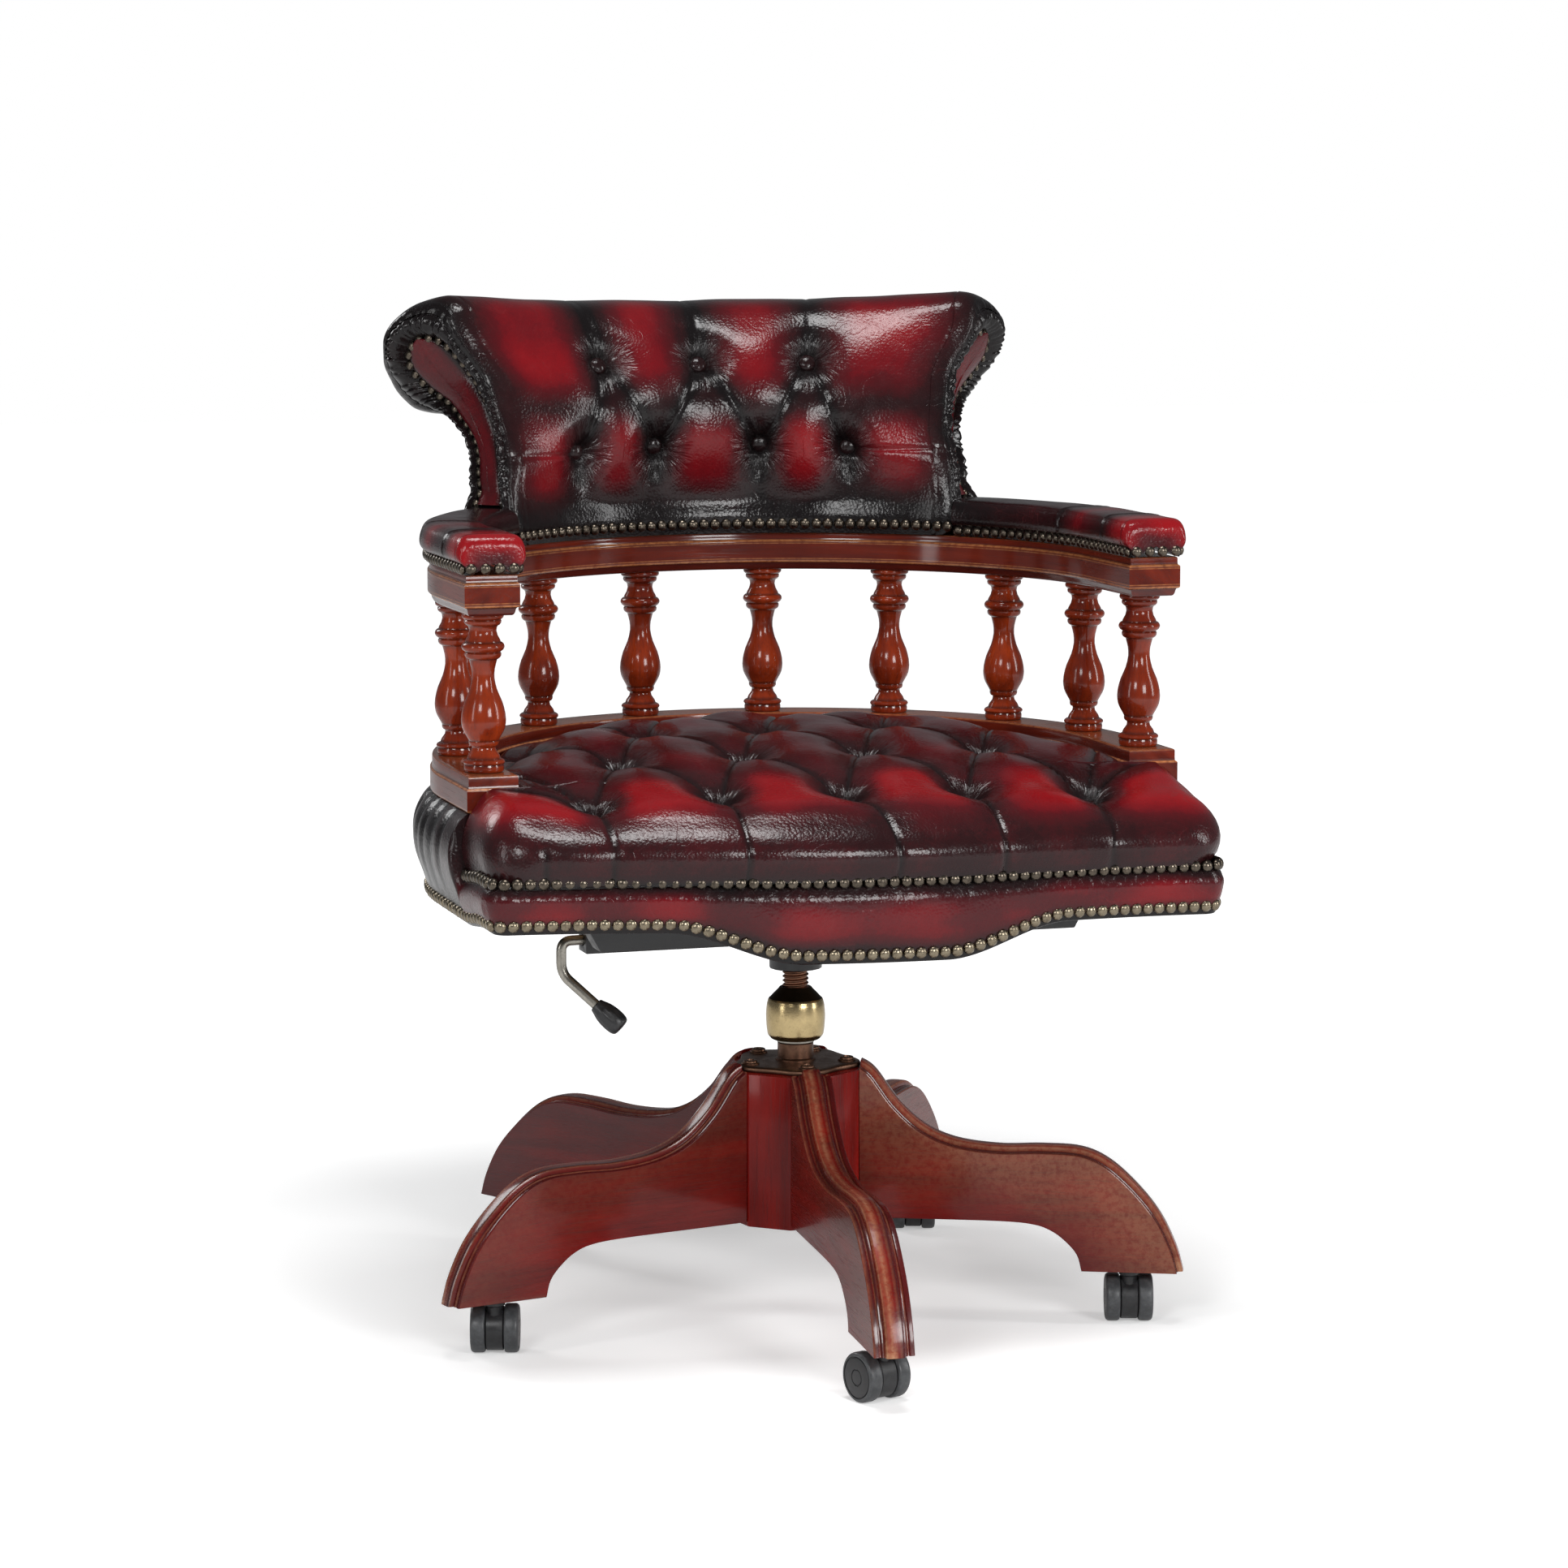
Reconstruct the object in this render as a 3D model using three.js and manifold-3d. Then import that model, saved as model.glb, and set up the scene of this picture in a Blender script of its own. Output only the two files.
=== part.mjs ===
// A swivel captain's chair: a horseshoe of turned spindles and padded rail over a buttoned leather seat,
// on a tilting spring mechanism, a screw column and a star base of five wooden legs with twin-wheel casters.
// Millimetres, +Z up, the sitter faces -Y. The column stands on its own axis, set forward of the origin.
import * as THREE from 'three';
import { mergeVertices } from 'three/addons/utils/BufferGeometryUtils.js';
import Module from 'manifold-3d';

const wasm = await Module();
wasm.setup();

// Clearances
const gap = 0.3;
const overrun = 2;

// Where the column stands in the part's own frame
const columnForward = 30.5;

// Star base
const legAzimuths = [-4.2, 65.8, 143, 208.6, 281.8];
const legReachShares = [1.03, 1, 1.15, 1.17, 1];
const legReach = 320;
const legThickness = 33;
const footZ = 45.5;
const legTopZ = 214;
const ribWidth = 15;
const ribRise = 5;
const ribDepth = 6;
const hubApothem = 55;
const hubBottomZ = 83;
const hubTopZ = 211.7;
const plateThickness = 4.3;
const plateRadius = 50.5;
const plateLobe = 3.8;
const boltCircleRadius = 43;
const boltHeadRadius = 7.5;
const boltHeadHeight = 3.4;
const boltShankRadius = 3;
const boltLength = 30;

// Casters
const casterInset = 40;
const casterTrail = 6;
const wheelRadius = 20;
const wheelWidth = 12;
const wheelEdge = 1.3;
const axleRadius = 3;
const hoodWidth = 14.6;
const hoodRadius = 18.2;
const stemRadius = 5;
const stemLength = 30;
const collarRadius = 8.5;
const casterHeadings = [-72.5, 252.5, 252.5, 235, 252.5];

// Column
const sleeveRadius = 15;
const sleeveWall = 1.8;
const sleeveBottomZ = 96;
const sleeveTopZ = 231.5;
const bushRadius = 12.8;
const bushWall = 1.5;
const bushFlange = 3;
const bushFlangeHeight = 2.3;
const nutRadius = 24.7;
const nutHeight = 43.8;
const screwRadius = 11;
const screwBottomZ = 130;
const screwTopZ = 328;

// Tilt mechanism
const pinForward = 60;
const pinZ = 345;
const pinRadius = 6;
const pinHeadRadius = 9;
const pinHeadLength = 4;
const barrelRadius = 12;
const bracketWidth = 68;
const bracketTopZ = 332;
const bracketThickness = 20;
const bossRadius = 22;
const bossBottomZ = 294.3;
const springBack = 46;
const springRadius = 11;
const springWire = 4;
const springTurns = 5;
const springFloorZ = 304;
const cupRadius = 18;
const cupBore = 14.5;
const cupFloor = 4;
const earThickness = 5;
const earRadius = 13;
const plateSteel = 4;
const plateLength = 190;
const plateWidth = 170;
const armInset = 88;
const armDepth = 26;
const armDrop = 25;
const armBevel = 14;
const leverForward = 25;
const leverZ = 331;
const leverBarReach = 190;
const leverBarWidth = 24;
const leverBarHeight = 20;
const leverRodRadius = 4.2;
const leverOutset = 18;
const leverReach = leverBarReach + leverOutset;
const gripRadius = 9.5;
const gripLength = 28;

// Seat
const seatHalfWidth = 303;
const railInset = 23;
const railRadius = seatHalfWidth - railInset;
const railForward = 94.5;
const lowerRailZ = 448.4;
const lowerRailHeight = 29;
const lowerRailWidth = 44;
const upperRailZ = 604.4;
const upperRailHeight = 32.6;
const upperRailWidth = 45;
const boardInset = 13;
const boardTopZ = 400;
const boardThickness = 33.7;
const seatFront = 188;
const frontBow = 28;
const rimSetback = 1;
const borderBulge = 14;
const borderRound = 2;
const borderLip = 6;
const apronDip = 26;
const nailDip = 6;
const dustThickness = 1.4;
const cushionFrontSpread = 5;
const cushionSideSpread = 13;
const cushionCrown = 495;
const cushionFrontZ = 457;
const cushionSideZ = 474;
const tuftPitch = 104;
const tuftShift = -3.5;
const tuftRowPitch = 110;
const tuftFront = 140;
const tuftRise = 11;
const tuftSink = 17;
const cushionRound = 17;

// Spindles
const spindleRadius = 17.9;
const spindleSides = 10;
const tenonRadius = 6.5;
const tenonLength = 12;

// Arm pads and back
const armPadHeight = 32;
const armPadOverhang = 6;
const backSpreadAngle = 50;
const backLeanAngle = 29;
const backWaist = 12;
const backTopFlare = 22;
const backRollFlare = 22;
const backDepth = 160;
const backHeight = 202;
const backShoulder = 16;
const backFrameThickness = 11;
const backFrameFront = 19;
const backFrameHeight = 132;
const facingThickness = 3;
const facingLift = 3 * gap;
const buttonSink = 17;
const buttonReach = 17;
const foldSink = 5;
const foldReach = 7;

const degrees = Math.PI / 180;
const fullTurn = 360;

// Finishes
const finishes = {
  mahogany: new THREE.MeshStandardMaterial({ color: 0x5a1712, roughness: 0.32, metalness: 0 }),
  amberWood: new THREE.MeshStandardMaterial({ color: 0x8a3512, roughness: 0.22, metalness: 0 }),
  plywood: new THREE.MeshStandardMaterial({ color: 0xb08a5c, roughness: 0.8, metalness: 0 }),
  oxblood: new THREE.MeshStandardMaterial({ color: 0x5c0d12, roughness: 0.38, metalness: 0 }),
  blackCloth: new THREE.MeshStandardMaterial({ color: 0x151414, roughness: 0.9, metalness: 0 }),
  agedBrass: new THREE.MeshStandardMaterial({ color: 0x8d7a55, roughness: 0.3, metalness: 1 }),
  bronze: new THREE.MeshStandardMaterial({ color: 0x5f4a3c, roughness: 0.45, metalness: 1 }),
  blackSteel: new THREE.MeshStandardMaterial({ color: 0x1a1a1b, roughness: 0.5, metalness: 0.4 }),
  brightSteel: new THREE.MeshStandardMaterial({ color: 0x8f8d88, roughness: 0.3, metalness: 1 }),
  blackPlastic: new THREE.MeshStandardMaterial({ color: 0x141415, roughness: 0.45, metalness: 0 }),
  greyTread: new THREE.MeshStandardMaterial({ color: 0x3d4043, roughness: 0.6, metalness: 0 }),
};

const chair = new THREE.Group();
chair.position.set(0, -columnForward, 0);

// Solids

function welded(geometry) {
  const bare = geometry.index ? geometry.toNonIndexed() : geometry.clone();
  bare.deleteAttribute('normal');
  bare.deleteAttribute('uv');
  const merged = mergeVertices(bare, 1e-4);
  const index = merged.index.array;
  const kept = [];
  for (let i = 0; i < index.length; i += 3) {
    const [a, b, c] = [index[i], index[i + 1], index[i + 2]];
    if (a !== b && b !== c && c !== a) kept.push(a, b, c);
  }
  merged.setIndex(kept);
  return merged;
}

function outward(geometry) {
  const place = geometry.getAttribute('position');
  const index = Array.from(geometry.index.array);
  const a = new THREE.Vector3();
  const b = new THREE.Vector3();
  const c = new THREE.Vector3();
  let volume = 0;
  for (let i = 0; i < index.length; i += 3) {
    a.fromBufferAttribute(place, index[i]);
    b.fromBufferAttribute(place, index[i + 1]);
    c.fromBufferAttribute(place, index[i + 2]);
    volume += a.dot(b.cross(c));
  }
  if (volume < 0) {
    for (let i = 0; i < index.length; i += 3) [index[i + 1], index[i + 2]] = [index[i + 2], index[i + 1]];
    geometry.setIndex(index);
  }
  return geometry;
}

function solidOf(geometry) {
  const mesh = outward(welded(geometry));
  return new wasm.Manifold(new wasm.Mesh({
    numProp: 3,
    vertProperties: new Float32Array(mesh.getAttribute('position').array),
    triVerts: new Uint32Array(mesh.index.array),
  }));
}

function geometryOf(solid) {
  const mesh = solid.getMesh();
  const geometry = new THREE.BufferGeometry();
  geometry.setAttribute('position', new THREE.BufferAttribute(new Float32Array(mesh.vertProperties), 3));
  geometry.setIndex(Array.from(mesh.triVerts));
  return geometry;
}

function cut(body, ...tools) {
  return geometryOf(tools.reduce((solid, tool) => solid.subtract(solidOf(tool)), solidOf(body)));
}

function join(body, ...others) {
  return geometryOf(others.reduce((solid, other) => solid.add(solidOf(other)), solidOf(body)));
}

function put(name, geometry, finish, parent = chair) {
  const shape = outward(welded(geometry));
  shape.computeVertexNormals();
  const mesh = new THREE.Mesh(shape, finishes[finish].clone());
  mesh.name = name;
  parent.add(mesh);
  return mesh;
}

// A solid of revolution about Z from [radius, z] points; the profile closes on the axis or on itself
function turned(profile, sides) {
  const points = profile.map(([radius, z]) => new THREE.Vector2(radius, z));
  return new THREE.LatheGeometry(points, sides).rotateX(Math.PI / 2);
}

function rod(radius, bottom, top, sides) {
  return turned([[0, bottom], [radius, bottom], [radius, top], [0, top]], sides);
}

function rodAlongX(radius, from, to, sides) {
  return rod(radius, from, to, sides).rotateY(Math.PI / 2);
}

function tube(outer, inner, bottom, top, sides) {
  return turned([[inner, bottom], [outer, bottom], [outer, top], [inner, top], [inner, bottom]], sides);
}

function slab(outline, bottom, height, holes = []) {
  const shape = new THREE.Shape(outline.map(([x, y]) => new THREE.Vector2(x, y)));
  for (const hole of holes) shape.holes.push(new THREE.Path(hole.map(([x, y]) => new THREE.Vector2(x, y))));
  return new THREE.ExtrudeGeometry(shape, { depth: height, bevelEnabled: false }).translate(0, 0, bottom);
}

function block(x0, x1, y0, y1, z0, z1) {
  return slab([[x0, y0], [x1, y0], [x1, y1], [x0, y1]], z0, z1 - z0);
}

function ring(radius, sides, x = 0, y = 0, turn = 0) {
  const points = [];
  for (let i = 0; i < sides; i += 1) {
    const angle = turn + (i / sides) * 2 * Math.PI;
    points.push([x + radius * Math.cos(angle), y + radius * Math.sin(angle)]);
  }
  return points;
}

// Sections of equal length joined into a skin; the ends are closed unless the sections run in a loop.
// The cap is flat but for the first rungs, where it joins each point to the one across from it.
function skinned(sections, capOutline, rungs = 0) {
  const count = sections[0].length;
  const places = sections.flat().flatMap((point) => [point.x, point.y, point.z]);
  const faces = [];
  const last = capOutline ? sections.length - 1 : sections.length;
  for (let s = 0; s < last; s += 1) {
    const next = (s + 1) % sections.length;
    for (let i = 0; i < count; i += 1) {
      const j = (i + 1) % count;
      const [a, b, c, d] = [s * count + i, s * count + j, next * count + j, next * count + i];
      faces.push(a, b, c, a, c, d);
    }
  }
  if (capOutline) {
    const end = (sections.length - 1) * count;
    const cap = (a, b, c) => faces.push(a, c, b, end + a, end + b, end + c);
    for (let i = 0; i < rungs; i += 1) {
      const [across, above] = [count - 1 - i, count - 2 - i];
      cap(i, i + 1, above);
      cap(i, above, across);
    }
    const flat = capOutline.slice(rungs, count - rungs).map(([x, y]) => new THREE.Vector2(x, y));
    const backward = THREE.ShapeUtils.isClockWise(flat);
    for (const face of THREE.ShapeUtils.triangulateShape(flat, [])) {
      const [a, b, c] = face.map((i) => i + rungs);
      if (backward) cap(a, c, b);
      else cap(a, b, c);
    }
  }
  const geometry = new THREE.BufferGeometry();
  geometry.setAttribute('position', new THREE.Float32BufferAttribute(places, 3));
  geometry.setIndex(faces);
  return geometry;
}

const smooth = (low, high, value) => THREE.MathUtils.smoothstep(value, low, high);
const mix = (a, b, share) => a + (b - a) * share;

// Azimuth 0 looks to the front, -Y, and grows towards +X
function spoke(azimuth, radius) {
  return [radius * Math.sin(azimuth * degrees), -radius * Math.cos(azimuth * degrees)];
}


// Hub
const plateTopZ = hubTopZ + gap + plateThickness;
const hubFaceTurn = fullTurn / 4 / legAzimuths.length;
const hubRadius = hubApothem / Math.cos(hubFaceTurn * degrees);
const holeSides = 8;
const boltPlaces = legAzimuths.map((azimuth) => spoke(azimuth, boltCircleRadius));
const boltHoles = boltPlaces.map(([x, y]) => ring(boltShankRadius + 2 * gap, holeSides, x, y));
const columnHole = ring(sleeveRadius + 2 * gap, 16);
const hubOutline = legAzimuths.flatMap((azimuth) => (
  [-hubFaceTurn, hubFaceTurn].map((turn) => spoke(azimuth + turn, hubRadius))
));
put('hub_block', slab(hubOutline, hubBottomZ, hubTopZ - hubBottomZ, [columnHole, ...boltHoles]), 'mahogany');

const lobeSteps = 8;
const plateOutline = legAzimuths.flatMap((azimuth, i) => {
  const next = i + 1 < legAzimuths.length ? legAzimuths[i + 1] : legAzimuths[0] + fullTurn;
  return Array.from({ length: lobeSteps }, (_, step) => {
    const lobe = plateLobe * Math.cos((2 * Math.PI * step) / lobeSteps);
    return spoke(mix(azimuth, next, step / lobeSteps), plateRadius + lobe);
  });
});
put('hub_plate', slab(plateOutline, hubTopZ + gap, plateThickness, [columnHole, ...boltHoles]), 'bronze');

const headChamfer = boltHeadHeight / 2;
boltPlaces.forEach(([x, y], i) => {
  const profile = [
    [0, -boltLength],
    [boltShankRadius, -boltLength],
    [boltShankRadius, 0],
    [boltHeadRadius, 0],
    [boltHeadRadius, headChamfer],
    [boltHeadRadius - headChamfer, boltHeadHeight],
    [0, boltHeadHeight],
  ];
  put(`hub_bolt_${i + 1}`, turned(profile, holeSides), 'bronze').position.set(x, y, plateTopZ + gap);
});

// Legs: [reach share, rise share] of the upper and the lower edge of a side face
const legTopShares = [
  [0.0329, 0.95], [0.1054, 0.8], [0.1937, 0.68], [0.2988, 0.608], [0.4379, 0.582], [0.5745, 0.588],
  [0.6941, 0.577], [0.7788, 0.519], [0.8634, 0.4], [0.9311, 0.267], [0.9782, 0.118], [1, 0],
];
const legBottomShares = [
  [0.7014, 0], [0.6869, 0.083], [0.6482, 0.151], [0.6035, 0.202], [0.5467, 0.231], [0.4403, 0.245],
];
const legRootShare = 0.994;
const legRise = legTopZ - footZ;
const legRoot = hubApothem + gap;
const legReaches = legReachShares.map((share) => share * legReach);
const stemReaches = legReachShares.map((share) => share * (legReach - casterInset));

function shifted(line, distance) {
  return line.map((point, i) => {
    const before = line[Math.max(i - 1, 0)];
    const after = line[Math.min(i + 1, line.length - 1)];
    const along = new THREE.Vector2(after[0] - before[0], after[1] - before[1]).normalize();
    return [point[0] - along.y * distance, point[1] + along.x * distance];
  });
}

function upright(outline, thickness) {
  return slab(outline, -thickness / 2, thickness).rotateX(Math.PI / 2);
}

function legShape(reach, stemReach) {
  const onLeg = ([out, up]) => [mix(legRoot, reach, out), footZ + up * legRise];
  const legTop = [[legRoot, footZ + legRootShare * legRise], ...legTopShares.map(onLeg)];
  const legBottom = legBottomShares.map(onLeg);
  const legOutline = [...legTop, ...legBottom, [legRoot, legBottom.at(-1)[1]]];
  const ribTop = shifted(legTop, ribRise);
  ribTop[0] = [legRoot, ribTop[0][1]];
  ribTop[ribTop.length - 1] = [reach + ribRise, footZ];
  const ribFoot = shifted(legTop, -ribDepth);
  ribFoot[0] = [legRoot, ribFoot[0][1]];
  ribFoot[ribFoot.length - 1] = [reach - ribDepth, footZ];
  const rib = upright([...ribTop, ...ribFoot.reverse()], ribWidth);
  const socket = rod(stemRadius + 2 * gap, footZ - overrun, footZ + stemLength + gap, holeSides);
  socket.translate(stemReach, 0, 0);
  return cut(join(upright(legOutline, legThickness), rib), socket);
}

legAzimuths.forEach((azimuth, i) => {
  const leg = put(`leg_${i + 1}`, legShape(legReaches[i], stemReaches[i]), 'mahogany');
  leg.rotation.z = (azimuth - 90) * degrees;
});

// Casters: the wheels run along local X, behind the stem, and the axle lies along local Y
const wheelSides = 16;
const collarSides = 10;
const collarHeight = footZ - 2 * wheelRadius - 2 * gap;

function wheelShape() {
  const bore = axleRadius + 2 * gap;
  const rim = wheelRadius - wheelEdge;
  const profile = [
    [bore, 0], [rim, 0], [wheelRadius, wheelEdge], [wheelRadius, wheelWidth - wheelEdge],
    [rim, wheelWidth], [bore, wheelWidth], [bore, 0],
  ];
  return turned(profile, wheelSides).rotateX(-Math.PI / 2);
}

function housingShape() {
  const hoodSides = 14;
  const hood = rod(hoodRadius, -hoodWidth / 2, hoodWidth / 2, hoodSides).rotateX(Math.PI / 2);
  hood.translate(-casterTrail, 0, wheelRadius);
  const neckTop = 2 * wheelRadius + gap;
  const neck = rod(hoodWidth / 2 - gap, wheelRadius, neckTop, collarSides);
  const collar = rod(collarRadius, neckTop - gap, neckTop + collarHeight - gap, collarSides);
  const stem = rod(stemRadius, neckTop, footZ + stemLength, holeSides);
  const axleHalf = hoodWidth / 2 + wheelWidth;
  const axle = rod(axleRadius, -axleHalf, axleHalf, holeSides).rotateX(Math.PI / 2);
  axle.translate(-casterTrail, 0, wheelRadius);
  return join(hood, neck, collar, stem, axle);
}

legAzimuths.forEach((azimuth, i) => {
  const caster = new THREE.Group();
  const [x, y] = spoke(azimuth, stemReaches[i]);
  caster.position.set(x, y, 0);
  caster.rotation.z = casterHeadings[i] * degrees;
  chair.add(caster);
  put(`caster_${i + 1}_housing`, housingShape(), 'blackPlastic', caster);
  const inner = hoodWidth / 2 + gap;
  const left = put(`caster_${i + 1}_wheel_left`, wheelShape(), 'greyTread', caster);
  left.position.set(-casterTrail, inner, wheelRadius);
  const right = put(`caster_${i + 1}_wheel_right`, wheelShape(), 'greyTread', caster);
  right.position.set(-casterTrail, -inner - wheelWidth, wheelRadius);
});

// Column
const roundSides = 16;
const sleeveBore = sleeveRadius - sleeveWall;
put('column_sleeve', tube(sleeveRadius, sleeveBore, sleeveBottomZ, sleeveTopZ, roundSides), 'bronze');
const bushBore = bushRadius - bushWall;
const flangeBottomZ = sleeveTopZ + gap;
const flangeTopZ = flangeBottomZ + bushFlangeHeight;
put('column_bush', turned([
  [bushBore, sleeveBottomZ], [bushRadius, sleeveBottomZ], [bushRadius, flangeBottomZ],
  [bushRadius + bushFlange, flangeBottomZ], [bushRadius + bushFlange, flangeTopZ],
  [bushBore, flangeTopZ], [bushBore, sleeveBottomZ],
], roundSides), 'brightSteel');

// Barrel of the height nut: [radius share, height share]
const nutShares = [
  [0.83, 0], [0.93, 0.07], [0.985, 0.26], [1, 0.47], [0.975, 0.65], [0.91, 0.77], [0.86, 0.79], [0.56, 1],
];
const nutBore = screwRadius + gap;
const nutProfile = nutShares.map(([radius, rise]) => (
  [radius * nutRadius, flangeTopZ + gap + rise * nutHeight]
));
const nutTopZ = flangeTopZ + gap + nutHeight;
put('collar_nut', turned([
  [nutBore, flangeTopZ + gap], ...nutProfile, [nutBore, nutTopZ], [nutBore, flangeTopZ + gap],
], roundSides), 'agedBrass');
const screwTip = screwRadius / 6;
put('spindle_screw', turned([
  [0, screwBottomZ], [screwRadius - screwTip, screwBottomZ], [screwRadius, screwBottomZ + screwTip],
  [screwRadius, screwTopZ], [0, screwTopZ],
], roundSides), 'bronze');

// Tilt mechanism
const bracketHalf = bracketWidth / 2;
const bracketBottomZ = bracketTopZ - bracketThickness;
const pinHole = pinRadius + 2 * gap;

function bracketShape() {
  const slabFront = -pinForward - barrelRadius;
  const body = block(-bracketHalf, bracketHalf, slabFront, springBack, bracketBottomZ, bracketTopZ);
  const boss = rod(bossRadius, bossBottomZ, bracketTopZ, roundSides);
  const cup = rod(cupRadius, springFloorZ - cupFloor, bracketTopZ, roundSides).translate(0, springBack, 0);
  const barrel = rodAlongX(barrelRadius, -bracketHalf, bracketHalf, 12).translate(0, -pinForward, pinZ);
  const cheek = block(-bracketHalf, bracketHalf, slabFront, -pinForward + barrelRadius, bracketBottomZ, pinZ);
  const barBack = -leverForward + leverBarWidth / 2;
  const barBottom = leverZ - leverBarHeight / 2;
  const barTop = barBottom + leverBarHeight;
  const barSide = block(-leverBarReach, 0, barBack - leverBarWidth, barBack, barBottom, barTop);
  const whole = join(body, boss, cup, barrel, cheek, barSide);
  const screwHole = rod(screwRadius + gap, bossBottomZ - overrun, screwTopZ + gap, roundSides);
  const springHole = rod(cupBore, springFloorZ, bracketTopZ + overrun, roundSides).translate(0, springBack, 0);
  const boltHole = rodAlongX(pinHole, -bracketHalf - overrun, bracketHalf + overrun, 12);
  boltHole.translate(0, -pinForward, pinZ);
  const leverHole = rodAlongX(leverRodRadius + 2 * gap, -leverBarReach - overrun, -bracketHalf, 12);
  leverHole.translate(0, -leverForward, leverZ);
  return cut(whole, screwHole, springHole, boltHole, leverHole);
}
put('mechanism_bracket', bracketShape(), 'blackSteel');

const boardBottomZ = boardTopZ - boardThickness;
const steelTopZ = boardBottomZ - gap;
const steelBottomZ = steelTopZ - plateSteel;
const armSpan = 2 * (seatHalfWidth - armInset);
const earInner = bracketHalf + 2 * gap;
const earOuter = earInner + earThickness;

function seatPlateShape() {
  const front = -pinForward - plateLength / 3;
  const plate = block(-plateWidth / 2, plateWidth / 2, front, front + plateLength, steelBottomZ, steelTopZ);
  const reach = armSpan / 2;
  const rear = front + plateLength;
  const cross = upright([
    [-reach, steelTopZ], [-reach, steelTopZ - plateSteel], [armBevel - reach, steelBottomZ - armDrop],
    [reach - armBevel, steelBottomZ - armDrop], [reach, steelTopZ - plateSteel], [reach, steelTopZ],
  ], armDepth).translate(0, front + armDepth / 2, 0);
  const rearCross = block(-reach, reach, rear - armDepth, rear, steelBottomZ, steelTopZ);
  const ears = [-earOuter, earInner].map((x) => {
    const disc = rodAlongX(earRadius, x, x + earThickness, 12).translate(0, -pinForward, pinZ);
    const [neckFront, neckBack] = [-pinForward - earRadius, -pinForward + earRadius];
    const neck = block(x, x + earThickness, neckFront, neckBack, pinZ, steelTopZ - gap);
    return join(disc, neck);
  });
  const hole = rodAlongX(pinHole, -earOuter - overrun, earOuter + overrun, 12).translate(0, -pinForward, pinZ);
  return cut(join(plate, cross, rearCross, ...ears), hole);
}
put('seat_plate', seatPlateShape(), 'blackSteel');

const pinHalf = earOuter + gap;
const pinBody = rodAlongX(pinRadius, -pinHalf, pinHalf, 12);
const pinHeads = [-pinHalf - pinHeadLength, pinHalf].map((x) => (
  rodAlongX(pinHeadRadius, x, x + pinHeadLength, 12)
));
put('tilt_pin', join(pinBody, ...pinHeads), 'brightSteel').position.set(0, -pinForward, pinZ);

// Compression spring, one unbroken wire; its ends lie on the cup's floor and under the seat plate
const springTopZ = steelBottomZ - gap;

class Coil extends THREE.Curve {
  getPoint(share, target = new THREE.Vector3()) {
    const angle = share * springTurns * 2 * Math.PI;
    const low = springFloorZ + gap + springWire / 2;
    const high = springTopZ - springWire / 2;
    const rise = mix(low, high, share);
    return target.set(springRadius * Math.cos(angle), springRadius * Math.sin(angle), rise);
  }
}
const wireSection = new THREE.Shape(ring(springWire / 2, 5).map(([x, y]) => new THREE.Vector2(x, y)));
const springSteps = springTurns * 8;
const springGeometry = new THREE.ExtrudeGeometry(wireSection, { steps: springSteps, extrudePath: new Coil() });
put('tilt_spring', springGeometry, 'brightSteel').position.set(0, springBack, 0);

// Lever: a rod along the side bar, turned down and then forward and outward into a grip; grip end by shares
const leverBends = [
  new THREE.Vector3(-bracketHalf - gap - leverRodRadius, 0, 0),
  new THREE.Vector3(-leverBarReach, 0, 0),
  new THREE.Vector3(-leverReach + leverRodRadius, 0, 0),
  new THREE.Vector3(-leverReach, 0, -leverRodRadius),
];
const leverDropShare = 0.13;
const leverSweepShares = [0.21, -0.12, -0.335];
const leverElbow = new THREE.Vector3(-leverReach, 0, -leverReach * leverDropShare);
const leverTip = new THREE.Vector3(...leverSweepShares.map((share) => share * leverReach));
leverTip.x -= leverReach;
const leverAim = leverTip.clone().sub(leverElbow).normalize();
const gripStart = leverTip.clone().addScaledVector(leverAim, -gripLength);
const leverRodPath = [...leverBends, leverElbow, gripStart.clone().addScaledVector(leverAim, gripLength / 2)];

function bentRod(points, radius, sides) {
  const sections = points.map((point, i) => {
    const before = points[Math.max(i - 1, 0)];
    const after = points[Math.min(i + 1, points.length - 1)];
    const along = after.clone().sub(before).normalize();
    const side = new THREE.Vector3(0, 1, 0).addScaledVector(along, -along.y).normalize();
    const up = along.clone().cross(side);
    return ring(radius, sides).map(([a, b]) => point.clone().addScaledVector(side, a).addScaledVector(up, b));
  });
  return skinned(sections, ring(radius, sides));
}

function gripShape() {
  const shares = [[0.62, 0], [0.72, 0.1], [1, 0.5], [0.97, 0.85], [0.6, 1]];
  const profile = shares.map(([radius, along]) => [radius * gripRadius, along * gripLength]);
  const shell = turned([[0, 0], ...profile, [0, gripLength]], 10);
  const socket = rod(leverRodRadius + gap, -overrun, gripLength / 2 + gap, 10);
  return cut(shell, socket);
}
const leverPlace = [0, -leverForward, leverZ];
put('lever_rod', bentRod(leverRodPath, leverRodRadius, 8), 'brightSteel').position.set(...leverPlace);
const grip = put('lever_grip', gripShape(), 'blackPlastic');
grip.position.copy(gripStart).add(new THREE.Vector3(...leverPlace));
grip.quaternion.setFromUnitVectors(new THREE.Vector3(0, 0, 1), leverAim);

// Seat plan: half circle at the back, straight sides, bowed front
const frontY = (x, inset, reach) => {
  const share = Math.min(Math.abs(x) / reach, 1);
  return -seatFront + inset - frontBow * (1 + Math.cos(Math.PI * share)) / 2;
};

// Points of the horseshoe line at a distance from the column, from the right front end to the left
function horseshoe(radius, forward, steps) {
  const points = [[radius, -forward]];
  for (let i = 0; i <= steps; i += 1) {
    const angle = (i / steps) * Math.PI;
    points.push([radius * Math.cos(angle), radius * Math.sin(angle)]);
  }
  points.push([-radius, -forward]);
  return points;
}

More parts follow.
